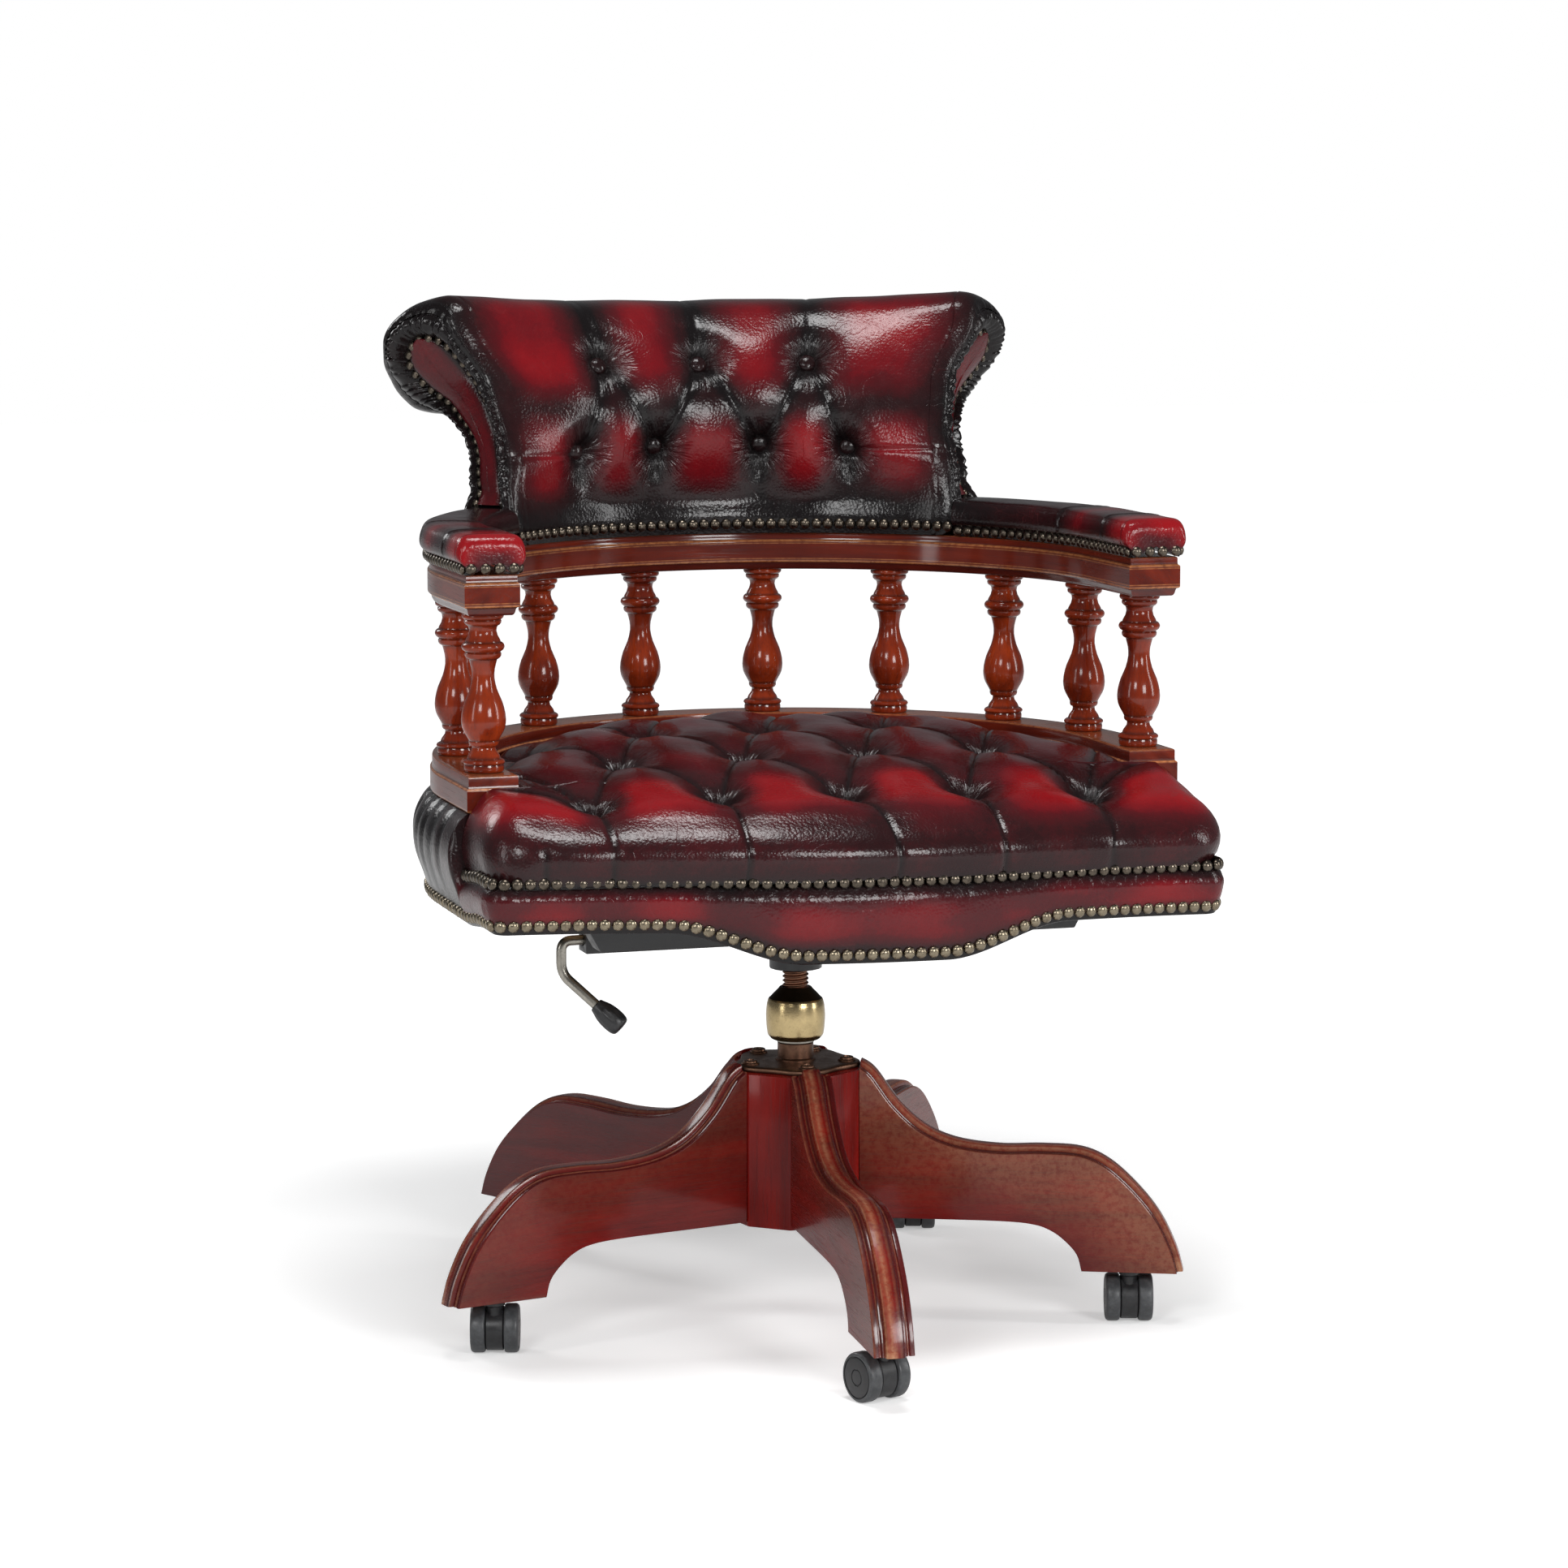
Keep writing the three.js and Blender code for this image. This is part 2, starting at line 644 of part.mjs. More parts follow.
function seatOutline(inset, steps, bowSteps) {
  const radius = seatHalfWidth - inset;
  const outline = horseshoe(radius, seatFront - inset, steps);
  for (let i = 1; i < bowSteps; i += 1) {
    const x = mix(-radius, radius, i / bowSteps);
    outline.push([x, frontY(x, inset, radius)]);
  }
  return outline;
}

const arcSteps = 20;
const bowSteps = 12;
put('seat_board', slab(seatOutline(boardInset, arcSteps, bowSteps), boardBottomZ, boardThickness), 'plywood');

function railOutline(width, forward, steps) {
  const outer = horseshoe(railRadius + width / 2, forward, steps);
  const inner = horseshoe(railRadius - width / 2, forward, steps).reverse();
  return [...outer, ...inner];
}
const rimOuter = seatHalfWidth - boardInset;
const rimInner = railRadius - lowerRailWidth / 2 + rimSetback;
const rimOutline = [
  ...horseshoe(rimOuter, railForward, arcSteps),
  ...horseshoe(rimInner, railForward, arcSteps).reverse(),
];
put('seat_rim', slab(rimOutline, boardTopZ + gap, lowerRailZ - boardTopZ - 2 * gap), 'plywood');

// Leather border round the board and the rim: a loop of sections, low across the front, tall round the sides
function borderSections() {
  const inner = seatHalfWidth - boardInset + gap;
  const lowTop = boardTopZ;
  const highTop = lowerRailZ - gap;
  const sections = [];
  const add = (place, normal, bottom, top, bulge) => {
    const along = (offset, z) => (
      new THREE.Vector3(place[0] + normal[0] * offset, place[1] + normal[1] * offset, z)
    );
    const skin = boardInset - gap;
    sections.push([
      along(0, bottom + borderLip),
      along(skin - borderRound, bottom),
      along(skin + bulge * 0.55, mix(bottom, top, 0.3)),
      along(skin + bulge, mix(bottom, top, 0.62)),
      along(skin + bulge * 0.5, mix(bottom, top, 0.9)),
      along(skin * 0.7, top),
      along(0, top),
    ]);
  };
  const bottomZ = boardBottomZ - borderLip;
  const sideYs = [-seatFront + boardInset, -railForward - 3 * gap, -railForward + 3 * gap, -railForward / 2, 0];
  const tall = (y) => y > -railForward;
  const side = (sign) => sideYs.map((y) => () => {
    const bulge = tall(y) ? borderBulge : borderBulge / 2;
    const top = tall(y) ? highTop : lowTop;
    add([sign * inner, y], [sign, 0], bottomZ, top, bulge);
  });
  side(1).forEach((make) => make());
  for (let i = 1; i < arcSteps; i += 1) {
    const angle = (i / arcSteps) * Math.PI;
    const normal = [Math.cos(angle), Math.sin(angle)];
    add([inner * normal[0], inner * normal[1]], normal, bottomZ, highTop, borderBulge);
  }
  side(-1).reverse().forEach((make) => make());
  for (let i = 0; i <= bowSteps; i += 1) {
    const x = mix(-inner, inner, i / bowSteps);
    const dip = smooth(-0.57, -0.2, -Math.abs(x) / inner);
    const top = lowTop - nailDip * dip;
    const corner = i === 0 || i === bowSteps;
    const normal = corner ? [Math.sign(x) * 0.7, -0.7] : [0, -1];
    add([x, frontY(x, boardInset - gap, inner)], normal, bottomZ - apronDip * dip, top, borderRound);
  }
  return sections;
}
put('seat_border', skinned(borderSections(), null), 'oxblood');

const dustOpening = [armSpan / 2 + overrun, pinForward + plateLength / 3 + overrun];
const dustRear = -pinForward - plateLength / 3 + plateLength + overrun;
const dustHole = [
  [-dustOpening[0], -dustOpening[1]], [dustOpening[0], -dustOpening[1]],
  [dustOpening[0], dustRear], [-dustOpening[0], dustRear],
];
const dustTop = boardBottomZ - gap;
const dustOutline = seatOutline(2 * boardInset, arcSteps, bowSteps);
put('dust_cover', slab(dustOutline, dustTop - dustThickness, dustThickness, [dustHole]), 'blackCloth');

// Diamond tufting: the fold lines cross at the buttons
function tuft(x, y) {
  const across = (x - tuftShift) / tuftPitch;
  const along = (y + tuftFront) / (2 * tuftRowPitch);
  const a = across + along;
  const b = across - along;
  const swell = Math.sqrt(Math.abs(Math.sin(Math.PI * a) * Math.sin(Math.PI * b)));
  const [da, db] = [a - Math.round(a), b - Math.round(b)];
  const sink = Math.exp(-(da * da + db * db) / 0.022);
  return tuftRise * swell - tuftSink * sink;
}

const crownRearShare = 0.62;
const crownSideShare = 0.3;
// Cushion top before the tufting: low at the front edge, highest just behind the middle
function crown(x, y) {
  const reach = railRadius - lowerRailWidth / 2;
  const level = cushionCrown - tuftRise;
  const front = mix(cushionFrontZ - tuftRise / 2, level, smooth(-seatFront - frontBow, 0.15 * reach, y));
  const rear = mix(front, cushionSideZ - tuftRise, smooth(crownRearShare * reach, reach, y));
  const sideDrop = Math.max(rear - cushionSideZ + tuftRise, 0) * smooth(crownSideShare, 1, Math.abs(x) / reach);
  return rear - sideDrop;
}

function cushionShape() {
  const columns = 30;
  const inside = railRadius - lowerRailWidth / 2 - gap;
  const wide = seatHalfWidth + cushionSideSpread;
  const bottom = boardTopZ + gap;
  const narrowY = -railForward - 2 * gap;
  const wideY = narrowY - 2 * gap;
  const frontRows = [0, 0.22, 0.48, 0.74, 1];
  const straightRows = [0, 0.22, 0.45, 0.72, 1];
  const arcRows = [10, 20, 31, 42, 53, 64, 74, 81];
  // Each row gives a half width and a depth for an inset from the outermost outline
  const rows = [
    ...frontRows.map((share) => ({
      open: true,
      half: (inset) => wide - inset,
      depth: (x, inset) => mix(frontY(x, inset - cushionFrontSpread, wide), wideY, share),
    })),
    ...straightRows.map((share) => ({
      open: false,
      half: (inset) => inside - inset / 3,
      depth: () => mix(narrowY, 0, share),
    })),
    ...arcRows.map((angle) => ({
      open: false,
      half: (inset) => (inside - inset / 3) * Math.cos(angle * degrees),
      depth: (x, inset) => (inside - inset / 3) * Math.sin(angle * degrees),
    })),
  ];
  const at = (row, i, inset) => {
    const x = mix(-1, 1, i / columns) * rows[row].half(inset);
    return [x, rows[row].depth(x, inset)];
  };
  const places = [];
  const faces = [];
  const addPoint = (x, y, z) => places.push(x, y, z) / 3 - 1;
  const grid = rows.map((row, r) => Array.from({ length: columns + 1 }, (_, i) => {
    const [x, y] = at(r, i, cushionRound);
    const edge = i === 0 || i === columns || r === 0 || r === rows.length - 1;
    const relief = row.open ? tuftRise : tuftRise / 2;
    return addPoint(x, y, crown(x, y) + (edge ? -relief / 2 : tuft(x, y)));
  }));
  for (let r = 0; r < rows.length - 1; r += 1) {
    for (let i = 0; i < columns; i += 1) {
      const [a, b, c, d] = [grid[r][i], grid[r][i + 1], grid[r + 1][i + 1], grid[r + 1][i]];
      faces.push(a, b, c, a, c, d);
    }
  }
  const walk = [];
  for (let i = 0; i < columns; i += 1) walk.push([0, i]);
  for (let r = 0; r < rows.length - 1; r += 1) walk.push([r, columns]);
  for (let i = columns; i > 0; i -= 1) walk.push([rows.length - 1, i]);
  for (let r = rows.length - 1; r > 0; r -= 1) walk.push([r, 0]);
  const wallShares = [[0.42, 0.82], [0, 0.42], [0.3, 0]];
  let upper = walk.map(([r, i]) => grid[r][i]);
  for (const [insetShare, riseShare] of wallShares) {
    const lower = walk.map(([r, i], k) => {
      const [x, y] = at(r, i, cushionRound * insetShare);
      return addPoint(x, y, mix(bottom, places[3 * grid[r][i] + 2], riseShare));
    });
    for (let k = 0; k < walk.length; k += 1) {
      const next = (k + 1) % walk.length;
      faces.push(upper[k], lower[k], lower[next], upper[k], lower[next], upper[next]);
    }
    upper = lower;
  }
  const floor = upper.map((p) => new THREE.Vector2(places[3 * p], places[3 * p + 1]));
  for (const [a, b, c] of THREE.ShapeUtils.triangulateShape(floor, [])) {
    faces.push(upper[a], upper[c], upper[b]);
  }
  const geometry = new THREE.BufferGeometry();
  geometry.setAttribute('position', new THREE.Float32BufferAttribute(places, 3));
  geometry.setIndex(faces);
  return geometry;
}
put('seat_cushion', cushionShape(), 'oxblood');

// Rails and spindles; a place on the rail is a share of half its length
const halfRail = (railRadius * Math.PI) / 2 + railForward;
const spindlePlaceShares = [0.106, 0.3185, 0.531, 0.726, 0.938];

function onRail(share) {
  const run = share * halfRail;
  const quarter = (railRadius * Math.PI) / 2;
  if (run > quarter) return [railRadius, quarter - run];
  return [railRadius * Math.sin(run / railRadius), railRadius * Math.cos(run / railRadius)];
}
const spindlePlaces = [-1, 1].flatMap((side) => spindlePlaceShares.map((share) => {
  const [x, y] = onRail(share);
  return [side * x, y];
}));

function railShape(width, bottom, height, mouthZ, depth) {
  const sockets = spindlePlaces.map(([x, y]) => {
    const low = Math.min(mouthZ, mouthZ + depth);
    return rod(tenonRadius + 2 * gap, low, low + Math.abs(depth), holeSides).translate(x, y, 0);
  });
  return cut(slab(railOutline(width, railForward, arcSteps), bottom, height), ...sockets);
}
const lowerRailTopZ = lowerRailZ + lowerRailHeight;
const socketDepth = tenonLength + gap + overrun;
const lowerMouth = lowerRailTopZ + overrun;
const upperMouth = upperRailZ - overrun;
const lowerRail = railShape(lowerRailWidth, lowerRailZ, lowerRailHeight, lowerMouth, -socketDepth);
put('lower_rail', lowerRail, 'mahogany');
const upperRail = railShape(upperRailWidth, upperRailZ, upperRailHeight, upperMouth, socketDepth);
put('upper_rail', upperRail, 'mahogany');

// Turned vase shape: [radius share, height share]
const spindleShares = [
  [0.89, 0], [0.95, 0.052], [0.52, 0.134], [0.67, 0.19], [0.82, 0.23], [1, 0.33], [0.97, 0.39],
  [0.62, 0.515], [0.5, 0.588], [0.62, 0.705], [0.95, 0.787], [0.61, 0.886], [0.82, 0.945], [0.92, 1],
];
const spindleBottomZ = lowerRailTopZ + gap;
const spindleLength = upperRailZ - gap - spindleBottomZ;
spindlePlaces.forEach(([x, y], i) => {
  const vase = spindleShares.map(([radius, rise]) => [radius * spindleRadius, rise * spindleLength]);
  const profile = [
    [0, -tenonLength], [tenonRadius, -tenonLength], [tenonRadius, 0], ...vase,
    [tenonRadius, spindleLength], [tenonRadius, spindleLength + tenonLength], [0, spindleLength + tenonLength],
  ];
  put(`spindle_${i + 1}`, turned(profile, spindleSides), 'amberWood').position.set(x, y, spindleBottomZ);
});

// Padded arms on the upper rail, from the front ends to the ends of the back
const upperRailTopZ = upperRailZ + upperRailHeight;
const padBottomZ = upperRailTopZ + gap;
const padHalf = upperRailWidth / 2 + armPadOverhang;
const backRadius = railRadius - upperRailWidth / 2 - armPadOverhang / 2;
// [share of the half width, share of the height] of the arm pad's section
const padSectionShares = [
  [0.93, 0], [1, 0.3], [0.97, 0.68], [0.78, 0.95], [0.3, 1],
  [-0.3, 1], [-0.78, 0.95], [-0.97, 0.68], [-1, 0.3], [-0.93, 0],
];

function armPadShape(side) {
  const sections = [];
  const add = (place, normal, scale) => {
    sections.push(padSectionShares.map(([across, rise]) => new THREE.Vector3(
      side * (place[0] + normal[0] * across * padHalf * scale),
      place[1] + normal[1] * across * padHalf * scale,
      padBottomZ + rise * armPadHeight * (scale + 1) / 2,
    )));
  };
  const end = -railForward - armPadOverhang / 2;
  const shares = [0, 0.12, 0.5, 1];
  add([railRadius, end], [1, 0], 0.9);
  shares.slice(1).forEach((share) => add([railRadius, mix(end, 0, share)], [1, 0], 1));
  const arcEnd = fullTurn / 4 - backSpreadAngle - (2 * gap) / railRadius / degrees;
  const steps = 5;
  for (let i = 1; i <= steps; i += 1) {
    const angle = ((i * arcEnd) / steps) * degrees;
    add([railRadius * Math.cos(angle), railRadius * Math.sin(angle)], [Math.cos(angle), Math.sin(angle)], 1);
  }
  return skinned(sections, padSectionShares);
}
put('arm_pad_right', armPadShape(1), 'oxblood');
put('arm_pad_left', armPadShape(-1), 'oxblood');

// Back: sections stand along the rail; a point of one is [depth share, height share] from the inner edge
const backShares = [
  [-0.02, 0], [-0.035, 0.07], [-0.02, 0.15], [-0.05, 0.235], [-0.1, 0.33], [-0.125, 0.425], [-0.125, 0.525],
  [-0.11, 0.62], [-0.075, 0.715], [-0.005, 0.82], [0.09, 0.905], [0.2, 0.975], [0.34, 1], [0.5, 0.99],
  [0.66, 0.935], [0.79, 0.845], [0.875, 0.735], [0.865, 0.635], [0.775, 0.56], [0.625, 0.532],
  [0.48, 0.527], [0.375, 0.49], [0.312, 0.42], [0.294, 0.335], [0.31, 0.255], [0.335, 0.17], [0.34, 0.07],
  [0.335, 0],
];
// The same points at the ends, where the roll is thicker, and round the facing on each end
const backEndShares = [
  [0, 0], [-0.006, 0.07], [0.0125, 0.15], [0.0375, 0.235], [0.075, 0.327], [0.15, 0.426],
  [0.2125, 0.525], [0.2625, 0.619], [0.319, 0.723], [0.356, 0.822], [0.375, 0.916], [0.4125, 0.995],
  [0.5, 1.042], [0.594, 1.032], [0.6875, 0.99], [0.8125, 0.891], [0.9375, 0.777], [1.0375, 0.678],
  [1.069, 0.604], [1, 0.5495], [0.8625, 0.53], [0.706, 0.527], [0.575, 0.475], [0.4625, 0.401],
  [0.3875, 0.322], [0.3625, 0.238], [0.35, 0.1], [0.335, 0],
];
const facingShares = [
  [0.106, 0.168], [0.11, 0.188], [0.119, 0.213], [0.138, 0.257], [0.175, 0.327], [0.225, 0.391],
  [0.287, 0.49], [0.344, 0.579], [0.412, 0.651], [0.463, 0.713], [0.494, 0.782], [0.519, 0.827],
  [0.556, 0.85], [0.606, 0.856], [0.653, 0.844], [0.706, 0.807], [0.747, 0.752], [0.765, 0.698],
  [0.756, 0.653], [0.719, 0.619], [0.656, 0.584], [0.594, 0.54], [0.512, 0.483], [0.438, 0.426],
  [0.375, 0.361], [0.334, 0.287], [0.308, 0.225], [0.302, 0.168],
];
const backSpreadPower = 2.5;
const endDrawShare = 0.35;
const backRungs = 6;
const shoulderZ = padBottomZ + armPadHeight + backShoulder;

// Outward shift of the ends: in at the waist, out again at the top and in the roll
function backFlare(depth, z) {
  const rise = (z - padBottomZ) / backHeight;
  const inwards = backWaist * smooth(0.23, 0.49, rise);
  const outwards = backTopFlare * smooth(0.66, 0.93, rise);
  const rolled = backRollFlare * smooth(0.44, 0.84, depth / backDepth) * smooth(0.55, 0.76, rise);
  return outwards + rolled - inwards;
}

function backPoint(share, depth, z, shift = 0) {
  const angle = share * backSpreadAngle;
  const lean = mix(angle, share * backLeanAngle, smooth(padBottomZ + armPadHeight / 2, shoulderZ, z));
  const outward = Math.sign(share) * (Math.abs(share) ** backSpreadPower * backFlare(depth, z) + shift);
  return new THREE.Vector3(
    backRadius * Math.sin(angle * degrees) + depth * Math.sin(lean * degrees) + outward,
    backRadius * Math.cos(angle * degrees) + depth * Math.cos(lean * degrees),
    z,
  );
}

// Buttons: [distance along the rail's inner edge, height], and the folds that run between and away from them
const lowerButtonShares = [-0.582, -0.227, 0.201, 0.546];
const upperButtonShares = [-0.433, -0.026, 0.386];
const lowerButtonRiseShare = 0.365;
const upperButtonRiseShare = 0.765;
const halfBack = backRadius * backSpreadAngle * degrees;
const lowerButtons = lowerButtonShares.map((share) => [share * halfBack, lowerButtonRiseShare * backHeight]);
const upperButtons = upperButtonShares.map((share) => [share * halfBack, upperButtonRiseShare * backHeight]);
const folds = [
  ...upperButtons.flatMap((upper, i) => [[upper, lowerButtons[i]], [upper, lowerButtons[i + 1]]]),
  ...upperButtons.map((upper) => [upper, [upper[0], backHeight]]),
  ...lowerButtons.map((lower) => [lower, [lower[0], 0]]),
  ...[0, lowerButtons.length - 1].map((i) => [lowerButtons[i], [2 * lowerButtons[i][0], lowerButtons[i][1]]]),
];

function fromFold(point, [start, end]) {
  const line = new THREE.Line3(new THREE.Vector3(...start, 0), new THREE.Vector3(...end, 0));
  const place = new THREE.Vector3(...point, 0);
  return line.closestPointToPoint(place, true, new THREE.Vector3()).distanceTo(place);
}

function backSink(run, rise) {
  const bell = (distance, reach) => Math.exp(-(distance * distance) / (2 * reach * reach));
  const buttons = [...lowerButtons, ...upperButtons];
  const nearest = Math.min(...buttons.map(([x, z]) => Math.hypot(run - x, rise - z)));
  const nearestFold = Math.min(...folds.map((fold) => fromFold([run, rise], fold)));
  return buttonSink * bell(nearest, buttonReach) + foldSink * bell(nearestFold, foldReach);
}

function backSection(share, draw) {
  const spread = Math.abs(share) ** backSpreadPower;
  const fade = smooth(0, 1, (1 - Math.abs(share)) * 8);
  return backShares.map((middle, i) => {
    const full = middle.map((value, k) => mix(value, backEndShares[i][k], spread));
    const [depth, height] = full.map((value, k) => mix(value, facingShares[i][k], draw));
    const onFront = i > 2 && i < 14;
    const sink = onFront ? fade * backSink(share * halfBack, height * backHeight) : 0;
    const slopeShare = THREE.MathUtils.clamp((i - 9) / 4, 0, 1);
    const z = padBottomZ + height * backHeight - sink * slopeShare;
    return backPoint(share, depth * backDepth + sink * (1 - slopeShare), z);
  });
}

const backFrameSpreadShare = 0.64;
function backFrameSections(clearance) {
  const front = backFrameFront - clearance;
  const rear = backFrameFront + backFrameThickness + clearance;
  const top = padBottomZ + backFrameHeight + clearance;
  const bottom = padBottomZ - (clearance > 0 ? overrun : 0);
  const spreadShare = backFrameSpreadShare + (4 * clearance) / halfBack;
  const steps = 14;
  const levels = [bottom, padBottomZ + armPadHeight, shoulderZ, top];
  return Array.from({ length: steps + 1 }, (_, i) => {
    const share = mix(-spreadShare, spreadShare, i / steps);
    const inner = levels.map((z) => backPoint(share, front, z));
    const outer = levels.toReversed().map((z) => backPoint(share, rear, z));
    return [...inner, ...outer];
  });
}

function backFrameShape(clearance) {
  const sections = backFrameSections(clearance);
  const corners = [[0, 0], [0, 1], [0, 2], [0, 3], [1, 3], [1, 2], [1, 1], [1, 0]];
  return skinned(sections, corners, corners.length / 2 - 1);
}

// Sections from one end to the other; each end draws in to the outline of its facing
function backPadShape() {
  const steps = 32;
  const sections = [backSection(-1, 1), backSection(-1, endDrawShare)];
  for (let i = 1; i < steps; i += 1) sections.push(backSection(mix(-1, 1, i / steps), 0));
  sections.push(backSection(1, endDrawShare), backSection(1, 1));
  return cut(skinned(sections, facingShares, backRungs), backFrameShape(gap));
}
put('back_frame', backFrameShape(0), 'plywood');
put('back_pad', backPadShape(), 'oxblood');

// Facings: drop-shaped panels on the ends of the back
function facingShape(side) {
  const layers = [facingLift, facingLift + facingThickness].map((out) => facingShares.map(([depth, height]) => (
    backPoint(side, depth * backDepth, padBottomZ + height * backHeight, out)
  )));
  return skinned(layers, facingShares, backRungs);
}
put('back_facing_right', facingShape(1), 'oxblood');
put('back_facing_left', facingShape(-1), 'oxblood');

export default chair;
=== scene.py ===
import bpy
import bmesh
import math
import random
import numpy as np
from mathutils import Matrix, Vector, noise


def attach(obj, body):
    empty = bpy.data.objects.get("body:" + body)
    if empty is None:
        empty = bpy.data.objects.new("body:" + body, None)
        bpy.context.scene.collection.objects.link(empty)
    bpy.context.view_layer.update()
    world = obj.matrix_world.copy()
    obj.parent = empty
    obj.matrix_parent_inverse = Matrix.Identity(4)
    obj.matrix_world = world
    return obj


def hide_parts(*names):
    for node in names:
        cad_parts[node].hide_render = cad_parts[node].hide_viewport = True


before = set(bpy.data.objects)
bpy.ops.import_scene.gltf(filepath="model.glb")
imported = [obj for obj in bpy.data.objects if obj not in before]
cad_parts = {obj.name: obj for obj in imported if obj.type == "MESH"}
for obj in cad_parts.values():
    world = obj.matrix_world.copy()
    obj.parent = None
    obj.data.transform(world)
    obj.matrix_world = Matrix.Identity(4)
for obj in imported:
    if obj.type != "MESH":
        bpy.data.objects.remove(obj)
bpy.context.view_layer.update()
scene = bpy.context.scene
random.seed(7)

# Pieces are shaped in millimetres round the column's axis, then set into the frame in metres
mm = 0.001
columnY = -0.0305
sharpAngle = 38
# Points that lie closer than this are made one
weld = {"turned": 0.001, "sheet": 0.02, "thread": 0.01}
quarter = math.pi / 2
# The gap between hard pieces that fit together
fitGap = 0.3


# Shapes


def smoothLine(points, spans):
    # Catmull-Rom curve through the points, with so many steps from each to the next
    points = [np.array(p, float) for p in points]
    padded = [2 * points[0] - points[1], *points, 2 * points[-1] - points[-2]]
    line = []
    for a, b, c, d in zip(padded, padded[1:], padded[2:], padded[3:]):
        square, cube = 2 * a - 5 * b + 4 * c - d, 3 * b - a - 3 * c + d
        for t in (step / spans for step in range(spans)):
            line.append(0.5 * (2 * b + (c - a) * t + square * t * t + cube * t ** 3))
    return [tuple(p) for p in line] + [tuple(points[-1])]


def runOf(line):
    # The distance gone at each point of a line
    return np.concatenate([[0], np.cumsum(np.linalg.norm(np.diff(line, axis=0), axis=1))])


def smooth(low, high, x):
    t = np.clip((x - low) / (high - low), 0, 1)
    return t * t * (3 - 2 * t)


def mix(a, b, t):
    return a + (b - a) * t


def bell(x, width):
    return np.exp(-(x / width) ** 2)


def spoke(azimuth, radius):
    turn = math.radians(azimuth)
    return radius * math.sin(turn), -radius * math.cos(turn)


def turnTo(direction):
    # The turn that takes Z to this direction
    return Vector((0, 0, 1)).rotation_difference(Vector(direction)).to_matrix().to_4x4()


def lathe(bm, profile, steps=48):
    # profile holds (radius, height); the shape turns about Z
    before = set(bm.verts)
    line = [bm.verts.new((radius, 0, height)) for radius, height in profile]
    edges = [bm.edges.new(pair) for pair in zip(line, line[1:])]
    bmesh.ops.spin(bm, geom=line + edges, axis=(0, 0, 1), angle=2 * math.pi, steps=steps, use_merge=True)
    made = [v for v in bm.verts if v not in before]
    bmesh.ops.remove_doubles(bm, verts=made, dist=weld["turned"])
    return [v for v in bm.verts if v not in before]


def sheetOf(bm, places, wrapRows=False, wrapColumns=False):
    # A grid whose points stand at places[row][column]; a wrapped side is joined to the other end
    places = np.asarray(places, float)
    rows, columns = places.shape[:2]
    made = bmesh.ops.create_grid(bm, x_segments=columns - 1, y_segments=rows - 1, size=1)["verts"]
    for vert, place in zip(made, places.reshape(-1, 3)):
        vert.co = place
    if wrapRows or wrapColumns:
        bmesh.ops.remove_doubles(bm, verts=made, dist=weld["turned"])


def closeHoles(bm):
    bmesh.ops.holes_fill(bm, edges=[e for e in bm.edges if e.is_boundary], sides=0)


def softenEdges(bm, width, above):
    sharp = [e for e in bm.edges if e.is_manifold and e.calc_face_angle() > math.radians(above)]
    bmesh.ops.bevel(
        bm, geom=sharp, offset=width, offset_type="OFFSET", segments=2,
        profile=0.5, affect="EDGES", material=-1, clamp_overlap=True,
    )


def moved(bm, verts, matrix):
    bmesh.ops.transform(bm, matrix=matrix, verts=verts)


def paint(mesh, name, values):
    # One number, or one place, for each point of the mesh
    values = np.asarray(values, np.float32)
    kind, field = ("FLOAT", "value") if values.ndim == 1 else ("FLOAT_VECTOR", "vector")
    mesh.attributes.new(name, kind, "POINT").data.foreach_set(field, values.ravel())


def addPiece(bm, name, body, finish, slotName, nodes=(), sharp=sharpAngle, inFrame=False, **painted):
    # painted holds the values of the points, each under its attribute's name
    bmesh.ops.recalc_face_normals(bm, faces=bm.faces)
    if not inFrame:
        bmesh.ops.scale(bm, vec=(mm, mm, mm), verts=bm.verts)
        bmesh.ops.translate(bm, vec=(0, columnY, 0), verts=bm.verts)
    mesh = bpy.data.meshes.new(name)
    bm.to_mesh(mesh)
    bm.free()
    for one in finish if isinstance(finish, list) else [finish]:
        mesh.materials.append(one)
    mesh.shade_smooth()
    mesh.set_sharp_from_angle(angle=math.radians(sharp))
    for key, values in painted.items():
        paint(mesh, key, values[:len(mesh.vertices)])
    piece = bpy.data.objects.new(name, mesh)
    scene.collection.objects.link(piece)
    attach(piece, body)
    if nodes:
        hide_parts(*nodes)
    return piece


# Finishes


def groupSocket(group, name, inOut, kind="NodeSocketFloat"):
    group.interface.new_socket(name=name, in_out=inOut, socket_type=kind)


def colour(r, g, b):
    return (r, g, b, 1)


